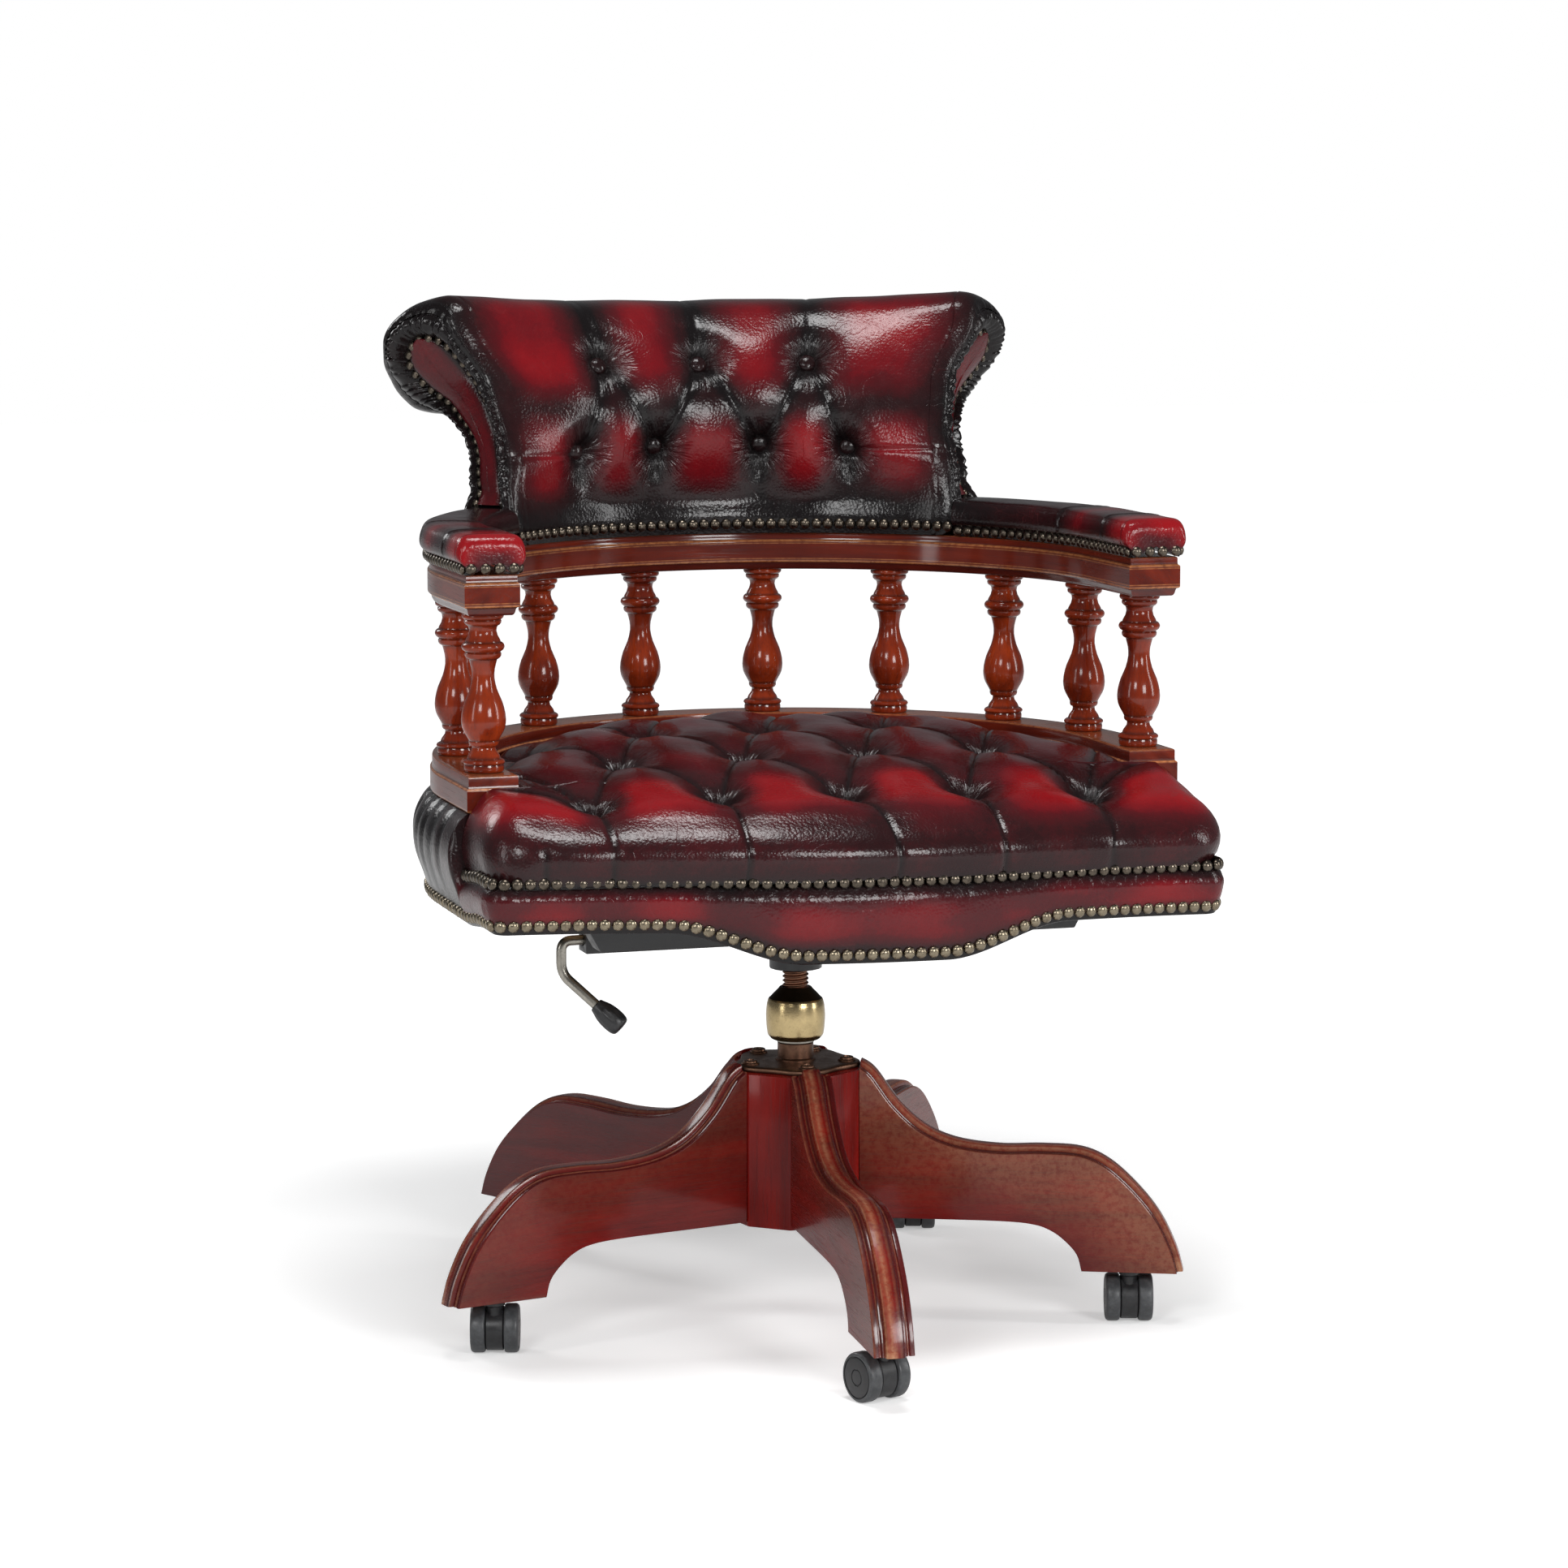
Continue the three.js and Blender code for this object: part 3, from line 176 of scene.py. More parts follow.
class Nodes:
    # A short way to add and join nodes in one tree
    def __init__(self, tree):
        self.tree = tree

    def add(self, kind, **settings):
        node = self.tree.nodes.new(kind)
        for key, value in settings.items():
            setattr(node, key, value)
        return node

    def join(self, source, target):
        self.tree.links.new(source, target)

    def maths(self, operation, first, second=0.5, clamp=False):
        node = self.add("ShaderNodeMath", operation=operation, use_clamp=clamp)
        for socket, value in zip(node.inputs, (first, second)):
            self.feed(socket, value)
        return node.outputs[0]

    def feed(self, socket, value):
        if isinstance(value, bpy.types.NodeSocket):
            self.join(value, socket)
        else:
            socket.default_value = value

    def blend(self, factor, a, b, kind="MIX"):
        node = self.add("ShaderNodeMix", data_type="RGBA", blend_type=kind)
        self.feed(node.inputs["Factor"], factor)
        self.feed(node.inputs[6], a)
        self.feed(node.inputs[7], b)
        return node.outputs[2]

    def noise(self, vector, scale, detail=3, roughness=0.5, distortion=0.0):
        node = self.add("ShaderNodeTexNoise")
        given = {"Vector": vector, "Scale": scale, "Detail": detail, "Roughness": roughness}
        for name, value in {**given, "Distortion": distortion}.items():
            self.feed(node.inputs[name], value)
        return node.outputs["Fac"]

    def spread(self, value, low, high, toLow=0.0, toHigh=1.0):
        node = self.add("ShaderNodeMapRange")
        node.clamp = True
        for socket, given in zip(node.inputs, (value, low, high, toLow, toHigh)):
            self.feed(socket, given)
        return node.outputs[0]

    def vector(self, operation, *values):
        node = self.add("ShaderNodeVectorMath", operation=operation)
        for socket, value in zip(node.inputs, values):
            self.feed(socket, value)
        return node

    def attribute(self, name, output="Fac"):
        return self.add("ShaderNodeAttribute", attribute_name=name).outputs[output]

    def bumped(self, shader, height, strength, distance):
        bump = self.add("ShaderNodeBump")
        for name, value in (("Strength", strength), ("Distance", distance), ("Height", height)):
            self.feed(bump.inputs[name], value)
        self.join(bump.outputs["Normal"], shader.inputs["Normal"])


def newFinish(name):
    finish = bpy.data.materials.new(name)
    finish.use_nodes = True
    n = Nodes(finish.node_tree)
    shader = finish.node_tree.nodes["Principled BSDF"]
    place = n.add("ShaderNodeTexCoord").outputs["Object"]
    return finish, n, shader, place


# Scales are in waves per metre but for the gathers, which are in waves round and away from the button
leatherLook = {
    "bright": colour(0.235, 0.0055, 0.0085), "middle": colour(0.085, 0.004, 0.007),
    "brown": colour(0.025, 0.0055, 0.0065), "dark": colour(0.005, 0.0035, 0.0038),
    "crack": colour(0.16, 0.02, 0.022), "cloudScale": 17, "fleckScale": 210, "polishScale": 60, "rough": 0.2,
    "specular": 0.26, "coat": 0.06, "coatRough": 0.12, "bump": 0.4, "bumpDepth": 0.0009, "pebbleScale": 430,
    "pebble": -0.5, "wrinkleScale": 26, "wrinkleWidth": 0.012, "wrinkle": 0.22, "patchScale": 13, "poreScale": 120,
    "pore": 0.6, "gathersRound": 4.6, "gathersAway": 0.35, "gather": 5.5,
}


def makeGrainGroup():
    # Fine pebble and thin wrinkles of the leather, and the gathers that run out of the nearest button.
    # The fold input holds the offset from that button in centimetres, or nothing where there is none
    look = leatherLook
    group = bpy.data.node_groups.new("leatherGrain", "ShaderNodeTree")
    for name in ("Vector", "Fold"):
        groupSocket(group, name, "INPUT", "NodeSocketVector")
    for name in ("Height", "Crease"):
        groupSocket(group, name, "OUTPUT")
    n = Nodes(group)
    given = n.add("NodeGroupInput").outputs
    result = n.add("NodeGroupOutput").inputs
    vector = given["Vector"]
    cells = n.add("ShaderNodeTexVoronoi", feature="SMOOTH_F1")
    for name, value in (("Vector", vector), ("Scale", look["pebbleScale"]), ("Smoothness", 0.5)):
        n.feed(cells.inputs[name], value)
    wander = n.noise(vector, look["wrinkleScale"], 2, 0.5, 0.9)
    lines = n.spread(n.maths("ABSOLUTE", n.maths("SUBTRACT", wander, 0.5)), 0.0, look["wrinkleWidth"], 1.0, 0.0)
    patches = n.spread(n.noise(vector, look["patchScale"], 2), 0.44, 0.6)
    crease = n.maths("MULTIPLY", lines, patches)

    reach = n.vector("LENGTH", given["Fold"]).outputs["Value"]
    round_ = n.vector("SCALE", n.vector("NORMALIZE", given["Fold"]).outputs[0])
    round_.inputs["Scale"].default_value = look["gathersRound"]
    away = n.add("ShaderNodeCombineXYZ")
    n.join(n.maths("MULTIPLY", reach, look["gathersAway"]), away.inputs["Z"])
    rays = n.noise(n.vector("ADD", round_.outputs[0], away.outputs[0]).outputs[0], 1.0, 3, 0.6)
    near = n.maths("MULTIPLY", n.spread(reach, 0.5, 0.9), n.spread(reach, 1.6, 3.4, 1.0, 0.0))
    gathers = n.maths("MULTIPLY", n.spread(rays, 0.34, 0.66), near)

    height = n.maths("MULTIPLY", cells.outputs["Distance"], look["pebble"])
    height = n.maths("SUBTRACT", height, n.maths("MULTIPLY", crease, look["wrinkle"]))
    pores = n.noise(vector, look["poreScale"], 5, 0.65, 0.8)
    height = n.maths("ADD", height, n.maths("MULTIPLY", pores, look["pore"]))
    height = n.maths("ADD", height, n.maths("MULTIPLY", gathers, look["gather"]))
    n.join(height, result["Height"])
    n.join(crease, result["Crease"])
    return group


def makeLeather(name):
    # The attribute set on each leather piece runs from 0 in the folds to 1 on the crowns. The red crowns show wear,
    # and the dark is painted shade in the folds, the button hollows and the lower parts and by the rails
    look = leatherLook
    finish, n, shader, place = newFinish(name)
    grain = n.add("ShaderNodeGroup", node_tree=makeGrainGroup())
    n.join(place, grain.inputs["Vector"])
    n.join(n.attribute("fold", "Vector"), grain.inputs["Fold"])
    clouds = n.spread(n.noise(place, look["cloudScale"], 3, 0.55), 0.3, 0.7, -0.07, 0.07)
    flecks = n.spread(n.noise(place, look["fleckScale"], 3, 0.7), 0.3, 0.7, -0.03, 0.03)
    # The tone follows that wear and painted shade, with clouds and flecks at random
    worn = n.maths("ADD", n.maths("ADD", n.attribute("rub"), clouds), flecks, True)
    tone = n.blend(n.spread(worn, 0.04, 0.34), look["dark"], look["brown"])
    tone = n.blend(n.spread(worn, 0.28, 0.62), tone, look["middle"])
    tone = n.blend(n.spread(worn, 0.55, 1.0), tone, look["bright"])
    cracks = n.maths("MULTIPLY", grain.outputs["Crease"], n.maths("MULTIPLY", worn, 0.3))
    n.join(n.blend(cracks, tone, look["crack"]), shader.inputs["Base Color"])
    polish = n.noise(place, look["polishScale"], 3, 0.6)
    n.join(n.spread(polish, 0.3, 0.7, look["rough"] - 0.04, look["rough"] + 0.06), shader.inputs["Roughness"])
    shader.inputs["Specular IOR Level"].default_value = look["specular"]
    shader.inputs["Coat Weight"].default_value = look["coat"]
    shader.inputs["Coat Roughness"].default_value = look["coatRough"]
    n.bumped(shader, grain.outputs["Height"], look["bump"], look["bumpDepth"])
    return finish


def makeTimberGroup():
    # Straight grain with pores, drawn along X of the given vector
    group = bpy.data.node_groups.new("timberGrain", "ShaderNodeTree")
    groupSocket(group, "Vector", "INPUT", "NodeSocketVector")
    for name in ("Figure", "Pores"):
        groupSocket(group, name, "OUTPUT")
    n = Nodes(group)
    vector = n.add("NodeGroupInput").outputs["Vector"]
    result = n.add("NodeGroupOutput").inputs
    bands = n.noise(n.vector("MULTIPLY", vector, (5, 46, 46)).outputs[0], 1.0, 4, 0.55, 0.6)
    pores = n.noise(n.vector("MULTIPLY", vector, (26, 620, 620)).outputs[0], 1.0, 2, 0.6)
    n.join(n.spread(bands, 0.32, 0.68), result["Figure"])
    n.join(n.spread(pores, 0.52, 0.7), result["Pores"])
    return group


timberGroup = makeTimberGroup()


def makeTimber(name, light, dark, moulding, edge, turn=None, rough=0.24, coat=0.12):
    # The attribute of the pale edges marks wear, with painted highlights along the edges and beads, and shade marks
    # the dark staining of the mouldings, with painted shade in the grooves and underneath. Without a turn the
    # grain follows the run attribute, whose X lies along the piece
    finish, n, shader, place = newFinish(name)
    grain = n.add("ShaderNodeGroup", node_tree=timberGroup)
    if turn is None:
        n.join(n.attribute("run", "Vector"), grain.inputs["Vector"])
    else:
        turned = n.add("ShaderNodeMapping")
        turned.inputs["Rotation"].default_value = turn
        n.join(place, turned.inputs["Vector"])
        n.join(turned.outputs["Vector"], grain.inputs["Vector"])
    tone = n.blend(n.maths("MULTIPLY", grain.outputs["Figure"], 0.8), light, dark)
    clouds = n.spread(n.noise(place, 14, 3, 0.6), 0.38, 0.66)
    tone = n.blend(n.maths("MULTIPLY", clouds, 0.45), tone, dark)
    tone = n.blend(n.maths("MULTIPLY", grain.outputs["Pores"], 0.3), tone, moulding)
    shade = n.attribute("shade")
    tone = n.blend(shade, tone, moulding)
    chips = n.spread(n.noise(place, 210, 4, 0.7), 0.36, 0.56)
    # Pale edges: wear broken into chips, with painted highlights
    rubbed = n.maths("MULTIPLY", n.attribute("worn"), n.maths("ADD", n.maths("MULTIPLY", chips, 0.6), 0.4))
    n.join(n.blend(rubbed, tone, edge), shader.inputs["Base Color"])
    n.join(n.spread(grain.outputs["Pores"], 0, 1, rough, rough + 0.12), shader.inputs["Roughness"])
    n.join(n.spread(shade, 0, 1, coat, coat + 0.6), shader.inputs["Coat Weight"])
    shader.inputs["Coat Roughness"].default_value = 0.1
    shader.inputs["Specular IOR Level"].default_value = 0.12
    n.bumped(shader, grain.outputs["Pores"], 0.12, 0.0004)
    return finish


def makeMetal(name, base, darkTone, rough, grime=0.4, scale=90):
    # The shade attribute marks what is drawn dark
    finish, n, shader, place = newFinish(name)
    stains = n.spread(n.noise(place, scale, 5, 0.65), 0.42, 0.68)
    specks = n.spread(n.noise(place, scale * 7, 3, 0.6), 0.5, 0.72)
    mask = n.maths("MULTIPLY", n.maths("MAXIMUM", stains, specks), grime)
    mask = n.maths("MAXIMUM", mask, n.attribute("shade"))
    n.join(n.blend(mask, base, darkTone), shader.inputs["Base Color"])
    n.join(n.spread(mask, 0, 1, rough, rough + 0.3), shader.inputs["Roughness"])
    shader.inputs["Metallic"].default_value = 1
    n.bumped(shader, specks, 0.08, 0.0003)
    return finish


def makePlastic(name, base, scuff, rough, scale=120):
    finish, n, shader, place = newFinish(name)
    scuffs = n.spread(n.noise(place, scale, 5, 0.7), 0.45, 0.7)
    n.join(n.blend(n.maths("MULTIPLY", scuffs, 0.5), base, scuff), shader.inputs["Base Color"])
    n.join(n.spread(scuffs, 0, 1, rough, rough + 0.2), shader.inputs["Roughness"])
    n.bumped(shader, n.noise(place, 900, 2), 0.1, 0.0003)
    return finish


red = [colour(0.25, 0.007, 0.004), colour(0.085, 0.0035, 0.003)]
brown = [colour(0.19, 0.02, 0.007), colour(0.055, 0.006, 0.0035)]
# The dark colour of the mouldings: their staining, and painted shade in the grooves and underneath
stainAndShade = colour(0.022, 0.007, 0.008)
paleEdge = colour(0.42, 0.22, 0.12)
upright = (0, quarter, 0)
mahoganyUp = makeTimber("mahoganyUpright", *red, stainAndShade, paleEdge, upright)
mahoganyLeg = makeTimber("mahoganyLeg", *red, stainAndShade, paleEdge)
mahoganyFlat = makeTimber("mahoganyRail", *brown, stainAndShade, colour(0.5, 0.19, 0.07), rough=0.18, coat=0.4)
amber = makeTimber(
    "amberTurning", colour(0.36, 0.042, 0.008), colour(0.07, 0.006, 0.004), colour(0.03, 0.006, 0.004),
    colour(0.45, 0.16, 0.05), upright, 0.17, 0.4,
)
board = makeTimber(
    "bareBoard", colour(0.50, 0.33, 0.18), colour(0.36, 0.22, 0.12), colour(0.2, 0.12, 0.07),
    colour(0.5, 0.4, 0.3), (0, 0, 0), 0.6, 0.0,
)
leather = makeLeather("oxbloodLeather")
nailDark = makeMetal("nailBronze", colour(0.12, 0.10, 0.078), colour(0.02, 0.016, 0.013), 0.24, 0.6, 160)
nailBright = makeMetal("nailBrass", colour(0.25, 0.21, 0.15), colour(0.045, 0.033, 0.022), 0.25, 0.5, 160)
brass = makeMetal("agedBrass", colour(0.50, 0.385, 0.20), colour(0.030, 0.020, 0.012), 0.24, 0.16)
bronze = makeMetal("darkBronze", colour(0.16, 0.085, 0.055), colour(0.035, 0.022, 0.017), 0.34, 0.5)
screwMetal = makeMetal("screwBronze", colour(0.24, 0.12, 0.075), colour(0.04, 0.02, 0.014), 0.33)
steel = makeMetal("drawnSteel", colour(0.34, 0.32, 0.28), colour(0.09, 0.08, 0.065), 0.28, 0.35)
enamel = makePlastic("blackEnamel", colour(0.010, 0.010, 0.011), colour(0.03, 0.03, 0.03), 0.34)
plastic = makePlastic("blackNylon", colour(0.011, 0.011, 0.012), colour(0.035, 0.036, 0.038), 0.33)
tread = makePlastic("greyTread", colour(0.042, 0.044, 0.047), colour(0.10, 0.105, 0.11), 0.36, 200)
lining = makePlastic("liningCloth", colour(0.010, 0.010, 0.010), colour(0.018, 0.017, 0.016), 0.85, 300)
print("finishes made")


# Star base

base = {
    "azimuths": [-4.2, 65.8, 143, 208.6, 281.8],
    "reachShares": [1.03, 1, 1.15, 1.17, 1],
    "reach": 320, "thickness": 33, "footZ": 45.5, "root": 55.3,
    "hubApothem": 55, "hubBottomZ": 83, "hubTopZ": 211.7, "faceTurn": 18,
    "plateRadius": 50.5, "plateLobe": 3.8, "lobeSteps": 24, "plateThickness": 4.3,
    "boltCircle": 43, "boltRadius": 7.5, "boltHeight": 3.4,
}
# Radius and height of the side face's upper edge, and of its lower edge
legTop = [
    (55.3, 213.2), (64.7, 205.4), (83.4, 180.2), (106.7, 159.6), (134.5, 148), (171.2, 143.6),
    (207.5, 144.5), (239, 142.8), (261.4, 132.9), (283.8, 112.9), (301.7, 90.5), (314.1, 65.4), (320, 45.5),
]
legUnder = [(241, 45.5), (237, 59.5), (227, 71), (215, 79.5), (200, 84.4), (172, 86.4), (110, 86.6), (55.3, 86.6)]
# Across the leg: distance from the middle, height over the side's edge, pale edge (wear with a painted highlight),
# dark (staining, with painted shade in the grooves)
legMoulding = [
    (16.5, -1.0, 0.4, 0), (16.2, -0.4, 1, 0), (15.5, 0, 0.4, 0.1), (13.2, 0.1, 0, 0.35), (12.3, 0, 0.3, 0.7),
    (11.7, -1.1, 0, 1), (10.9, -1.1, 0, 1), (10.3, 0.1, 0.5, 0.7), (9.5, 0.45, 0.1, 0.3), (8.5, 0.4, 0, 0.6),
    (7.9, 0.5, 0, 1), (7.55, 3.0, 0.3, 0.6), (7.1, 4.1, 0.6, 0.35), (6.2, 4.7, 0.15, 0.6), (4.4, 4.9, 0, 0.8),
    (2.4, 5.0, 0, 0.8), (0, 5.05, 0, 0.8),
]
legSharpAngle = 22


def hubLevel(inset, z):
    radius = (base["hubApothem"] - inset) / math.cos(math.radians(base["faceTurn"]))
    turns = [a + side for a in base["azimuths"] for side in (-base["faceTurn"], base["faceTurn"])]
    turns.append(turns[0] + 360)
    return [(*spoke(turn, radius), z) for turn in turns]


def makeHub():
    bm = bmesh.new()
    sheetOf(bm, [hubLevel(0, base["hubBottomZ"]), hubLevel(0, base["hubTopZ"])], wrapColumns=True)
    closeHoles(bm)
    softenEdges(bm, 0.9, 10)
    addPiece(bm, "hubBlock", "base", mahoganyUp, "mahogany", ["hub_block"])


def makeLeg(number, azimuth, share):
    half = base["thickness"] / 2

    def reached(line):
        # Lengths are stretched from the hub's face to the leg's own reach
        root, reach = base["root"], base["reach"]
        return [(mix(root, reach * share, (r - root) / (reach - root)), z) for r, z in line]

    outline = reached(smoothLine(legTop, 6))
    under = reached(smoothLine(legUnder, 4))
    ring = np.array(outline + under + [outline[0]])
    ahead = np.roll(ring[:-1], -1, axis=0) - np.roll(ring[:-1], 1, axis=0)
    ahead = np.vstack([ahead, ahead[:1]])
    along = ahead / np.linalg.norm(ahead, axis=1)[:, None]
    normal = np.stack([-along[:, 1], along[:, 0]], axis=1)
    count = len(outline)
    normal[0] = normal[-1] = (0, 1)
    normal[count - 1] = (1, 0)
    across = legMoulding + [(-t, h, w, s) for t, h, w, s in legMoulding[-2::-1]]
    places, worn, shade, run = [], [], [], []
    for i, (edge, out) in enumerate(zip(ring, normal)):
        onTop = i < count or i == len(ring) - 1
        foot = smooth(60, base["footZ"], edge[1])
        for t, h, w, s in across:
            atEdge, atCorner = abs(t) > half - 2, abs(t) > half - 0.2
            spot = edge + out * (h if onTop else -0.6 * atCorner)
            places.append((spot[0], t, spot[1]))
            run.append((spot[0] * mm, (t + 40 * number) * mm, spot[1] * mm))
            # Pale edges show the most wear near the foot and carry painted highlights along the moulding; the
            # underside is darkened as painted shade
            worn.append(w * 0.5 + 0.5 * foot * atEdge if onTop else 0.35 * (abs(t) > half - 0.5))
            shade.append(s * 0.75 if onTop else 0.25)
    bm = bmesh.new()
    sheetOf(bm, np.array(places).reshape(len(ring), len(across), 3), wrapRows=True)
    closeHoles(bm)
    bmesh.ops.rotate(bm, verts=bm.verts, cent=(0, 0, 0), matrix=Matrix.Rotation(math.radians(azimuth - 90), 3, "Z"))
    addPiece(bm, f"leg{number}", "base", mahoganyLeg, "mahogany", [f"leg_{number}"], legSharpAngle,
             worn=worn, shade=shade, run=run)


def makeHubPlate():
    bm = bmesh.new()
    azimuths = base["azimuths"] + [base["azimuths"][0] + 360]
    outline = []
    for now, after in zip(azimuths, azimuths[1:]):
        for share in (step / base["lobeSteps"] for step in range(base["lobeSteps"])):
            lobe = base["plateLobe"] * math.cos(2 * math.pi * share)
            outline.append((mix(now, after, share), base["plateRadius"] + lobe))
    outline.append((outline[0][0] + 360, outline[0][1]))
    low = base["hubTopZ"] + fitGap
    high = low + base["plateThickness"]
    levels = [(0.6, low), (0, low + 0.8), (0, high - 1.4), (0.5, high - 0.5), (1.5, high), (6, high + 0.2)]
    sheetOf(bm, [[(*spoke(turn, r - inset), z) for turn, r in outline] for inset, z in levels], wrapColumns=True)
    closeHoles(bm)
    addPiece(bm, "hubPlate", "base", bronze, "bronze", ["hub_plate"])
    r, h = base["boltRadius"], base["boltHeight"]
    washer = [(0, -12), (3, -12), (3, 0), (r, 0), (r, h * 0.25), (r * 0.93, h * 0.4), (r * 0.8, h * 0.42)]
    head = [(r * 0.8, h * 0.42), (r * 0.78, h * 0.8), (r * 0.66, h), (r * 0.42, h), (r * 0.38, h * 0.55)]
    head.append((0, h * 0.5))
    for number, azimuth in enumerate(base["azimuths"], 1):
        bm = bmesh.new()
        lathe(bm, washer, 32)
        lathe(bm, head, 12)
        bmesh.ops.translate(bm, verts=bm.verts, vec=(*spoke(azimuth, base["boltCircle"]), high + fitGap))
        addPiece(bm, f"hubBolt{number}", "base", bronze, "bronze", [f"hub_bolt_{number}"])


makeHub()
for number, (azimuth, share) in enumerate(zip(base["azimuths"], base["reachShares"]), 1):
    makeLeg(number, azimuth, share)
makeHubPlate()
print("star base made")


# Casters

caster = {
    "circle": 280, "trail": 6, "wheelRadius": 20, "wheelWidth": 12, "hoodWidth": 14.6, "hoodRadius": 18.2,
    "collarRadius": 8.5, "stemRadius": 5, "headings": [-72.5, 252.5, 252.5, 235, 252.5],
}


def makeWheel(name, body, node, toWorld, side):
    r, w = caster["wheelRadius"], caster["wheelWidth"]
    profile = [
        (3.7, 0.6), (3.7, 0), (r - 2.6, 0), (r - 1.1, 0.3), (r - 0.3, 1.1), (r, 2.3), (r, w - 3), (r - 0.3, w - 1.6),
        (r - 1.2, w - 0.5), (r - 2.5, w), (r - 3.1, w - 0.1), (r - 3.4, w - 0.9), (r - 3.9, w - 1.0),
        (r - 4.3, w - 0.3), (r - 5, w - 0.1), (6.9, w), (6.5, w - 0.7), (6.1, w - 0.7), (5.7, w), (2, w + 0.1),
        (0, w + 0.1),
    ]
    bm = bmesh.new()
    lathe(bm, profile, 56)
    closeHoles(bm)
    for face in bm.faces:
        middle = face.calc_center_median()
        if math.hypot(middle.x, middle.y) < r - 3.2:
            face.material_index = 1
    lean = Matrix.Rotation(-quarter * side, 4, "X")
    out = Matrix.Translation((-caster["trail"], side * (caster["hoodWidth"] / 2 + fitGap), r))
    moved(bm, bm.verts, toWorld @ out @ lean)
    addPiece(bm, name, body, [tread, plastic], "wheel_tread", [node])


def makeHousing(name, body, node, toWorld):
    bm = bmesh.new()
    r, half = caster["hoodRadius"], caster["hoodWidth"] / 2
    rim = [(r - 0.8, -half), (r, 0.8 - half), (r, half - 0.8), (r - 0.8, half)]
    drum = lathe(bm, [(0, -half), *rim, (0, half)], 56)
    middle = Matrix.Translation((-caster["trail"], 0, caster["wheelRadius"]))
    moved(bm, drum, middle @ Matrix.Rotation(quarter, 4, "X"))
    c, s = caster["collarRadius"], caster["stemRadius"]
    top = base["footZ"] - 0.6
    neck = [(0, 22), (half - 0.4, 22), (half - 0.4, 39), (c - 0.8, 40.3), (c, 41)]
    stem = [(c, top - 0.8), (c - 0.8, top), (s, top), (s, top + 18), (0, top + 18)]
    lathe(bm, neck + stem, 40)
    moved(bm, bm.verts, toWorld)
    addPiece(bm, name, body, plastic, "black_plastic", [node])


for i, (azimuth, share, heading) in enumerate(zip(base["azimuths"], base["reachShares"], caster["headings"]), 1):
    x, y = spoke(azimuth, caster["circle"] * share)
    toWorld = Matrix.Translation((x, y, 0)) @ Matrix.Rotation(math.radians(heading), 4, "Z")
    makeHousing(f"casterHousing{i}", f"caster_{i}", f"caster_{i}_housing", toWorld)
    for side, word in ((1, "Left"), (-1, "Right")):
        end = word.lower()
        makeWheel(f"casterWheel{word}{i}", f"caster_{i}_{end}", f"caster_{i}_wheel_{end}", toWorld, side)
print("casters made")


# Column

column = {
    "sleeveRadius": 15, "sleeveTopZ": 231.5, "tubeBottomZ": 96, "flangeRadius": 15.8, "boreRadius": 11.3,
    "bushRadius": 12.8, "beadZ": 214.5, "nutBottomZ": 234.4, "nutHeight": 43.8, "nutRadius": 24.7,
    "screwRadius": 11, "rootRadius": 9.3, "pitch": 3.6, "threadBottomZ": 240, "threadTurns": 22, "turnSteps": 24,
    "screwBottomZ": 130, "coreTopZ": 243,
}
# Radius and height shares of the nut: foot, barrel and the cone on top, which is drawn dark
nutFoot = [(0.46, 0), (0.80, 0), (0.835, 0.012), (0.93, 0.075)]
nutBarrel = [(0.95, 0.1), (0.985, 0.26), (1, 0.47), (0.975, 0.65), (0.93, 0.755)]
nutCone = [(0.905, 0.778), (0.895, 0.784), (0.86, 0.80), (0.72, 0.885), (0.58, 0.965), (0.55, 0.99), (0.53, 1),
           (0.46, 1), (0.46, 0)]
nutDarkFrom = 0.781


def makeTubes():
    c = column
    low, high, r, f = c["tubeBottomZ"], c["sleeveTopZ"], c["sleeveRadius"], c["flangeRadius"]
    bore, bush, bead = c["boreRadius"], c["bushRadius"], c["beadZ"]
    bm = bmesh.new()
    lathe(bm, [(r - 1.8, low), (r, low), (r, bead), (r + 1.6, bead + 1.5), (r + 1.6, bead + 3.3), (r, bead + 4.5),
               (r, high - 0.6), (r - 0.6, high), (r - 1.8, high), (r - 1.8, low)], 64)
    addPiece(bm, "columnSleeve", "base", bronze, "bronze", ["column_sleeve"])
    bm = bmesh.new()
    lathe(bm, [(bore, low), (bush, low), (bush, high + 0.3), (f - 0.5, high + 0.3), (f, high + 0.8), (f, high + 2.1),
               (f - 0.5, high + 2.6), (bore, high + 2.6), (bore, low)], 64)
    addPiece(bm, "columnBush", "column", steel, "bright_steel", ["column_bush"])


def makeNut():
    bottom, height, r = column["nutBottomZ"], column["nutHeight"], column["nutRadius"]
    profile = nutFoot + smoothLine(nutBarrel, 6) + nutCone
    bm = bmesh.new()
    lathe(bm, [(s * r, bottom + h * height) for s, h in profile], 96)
    rises = [(v.co.z - bottom) / height for v in bm.verts]
    # The cone is dark, and the foot a little darker towards its bottom
    dark = [1.0 if h > nutDarkFrom else 0.55 * smooth(0.09, 0.0, h) for h in rises]
    addPiece(bm, "collarNut", "nut", brass, "aged_brass", ["collar_nut"], 30, shade=dark)


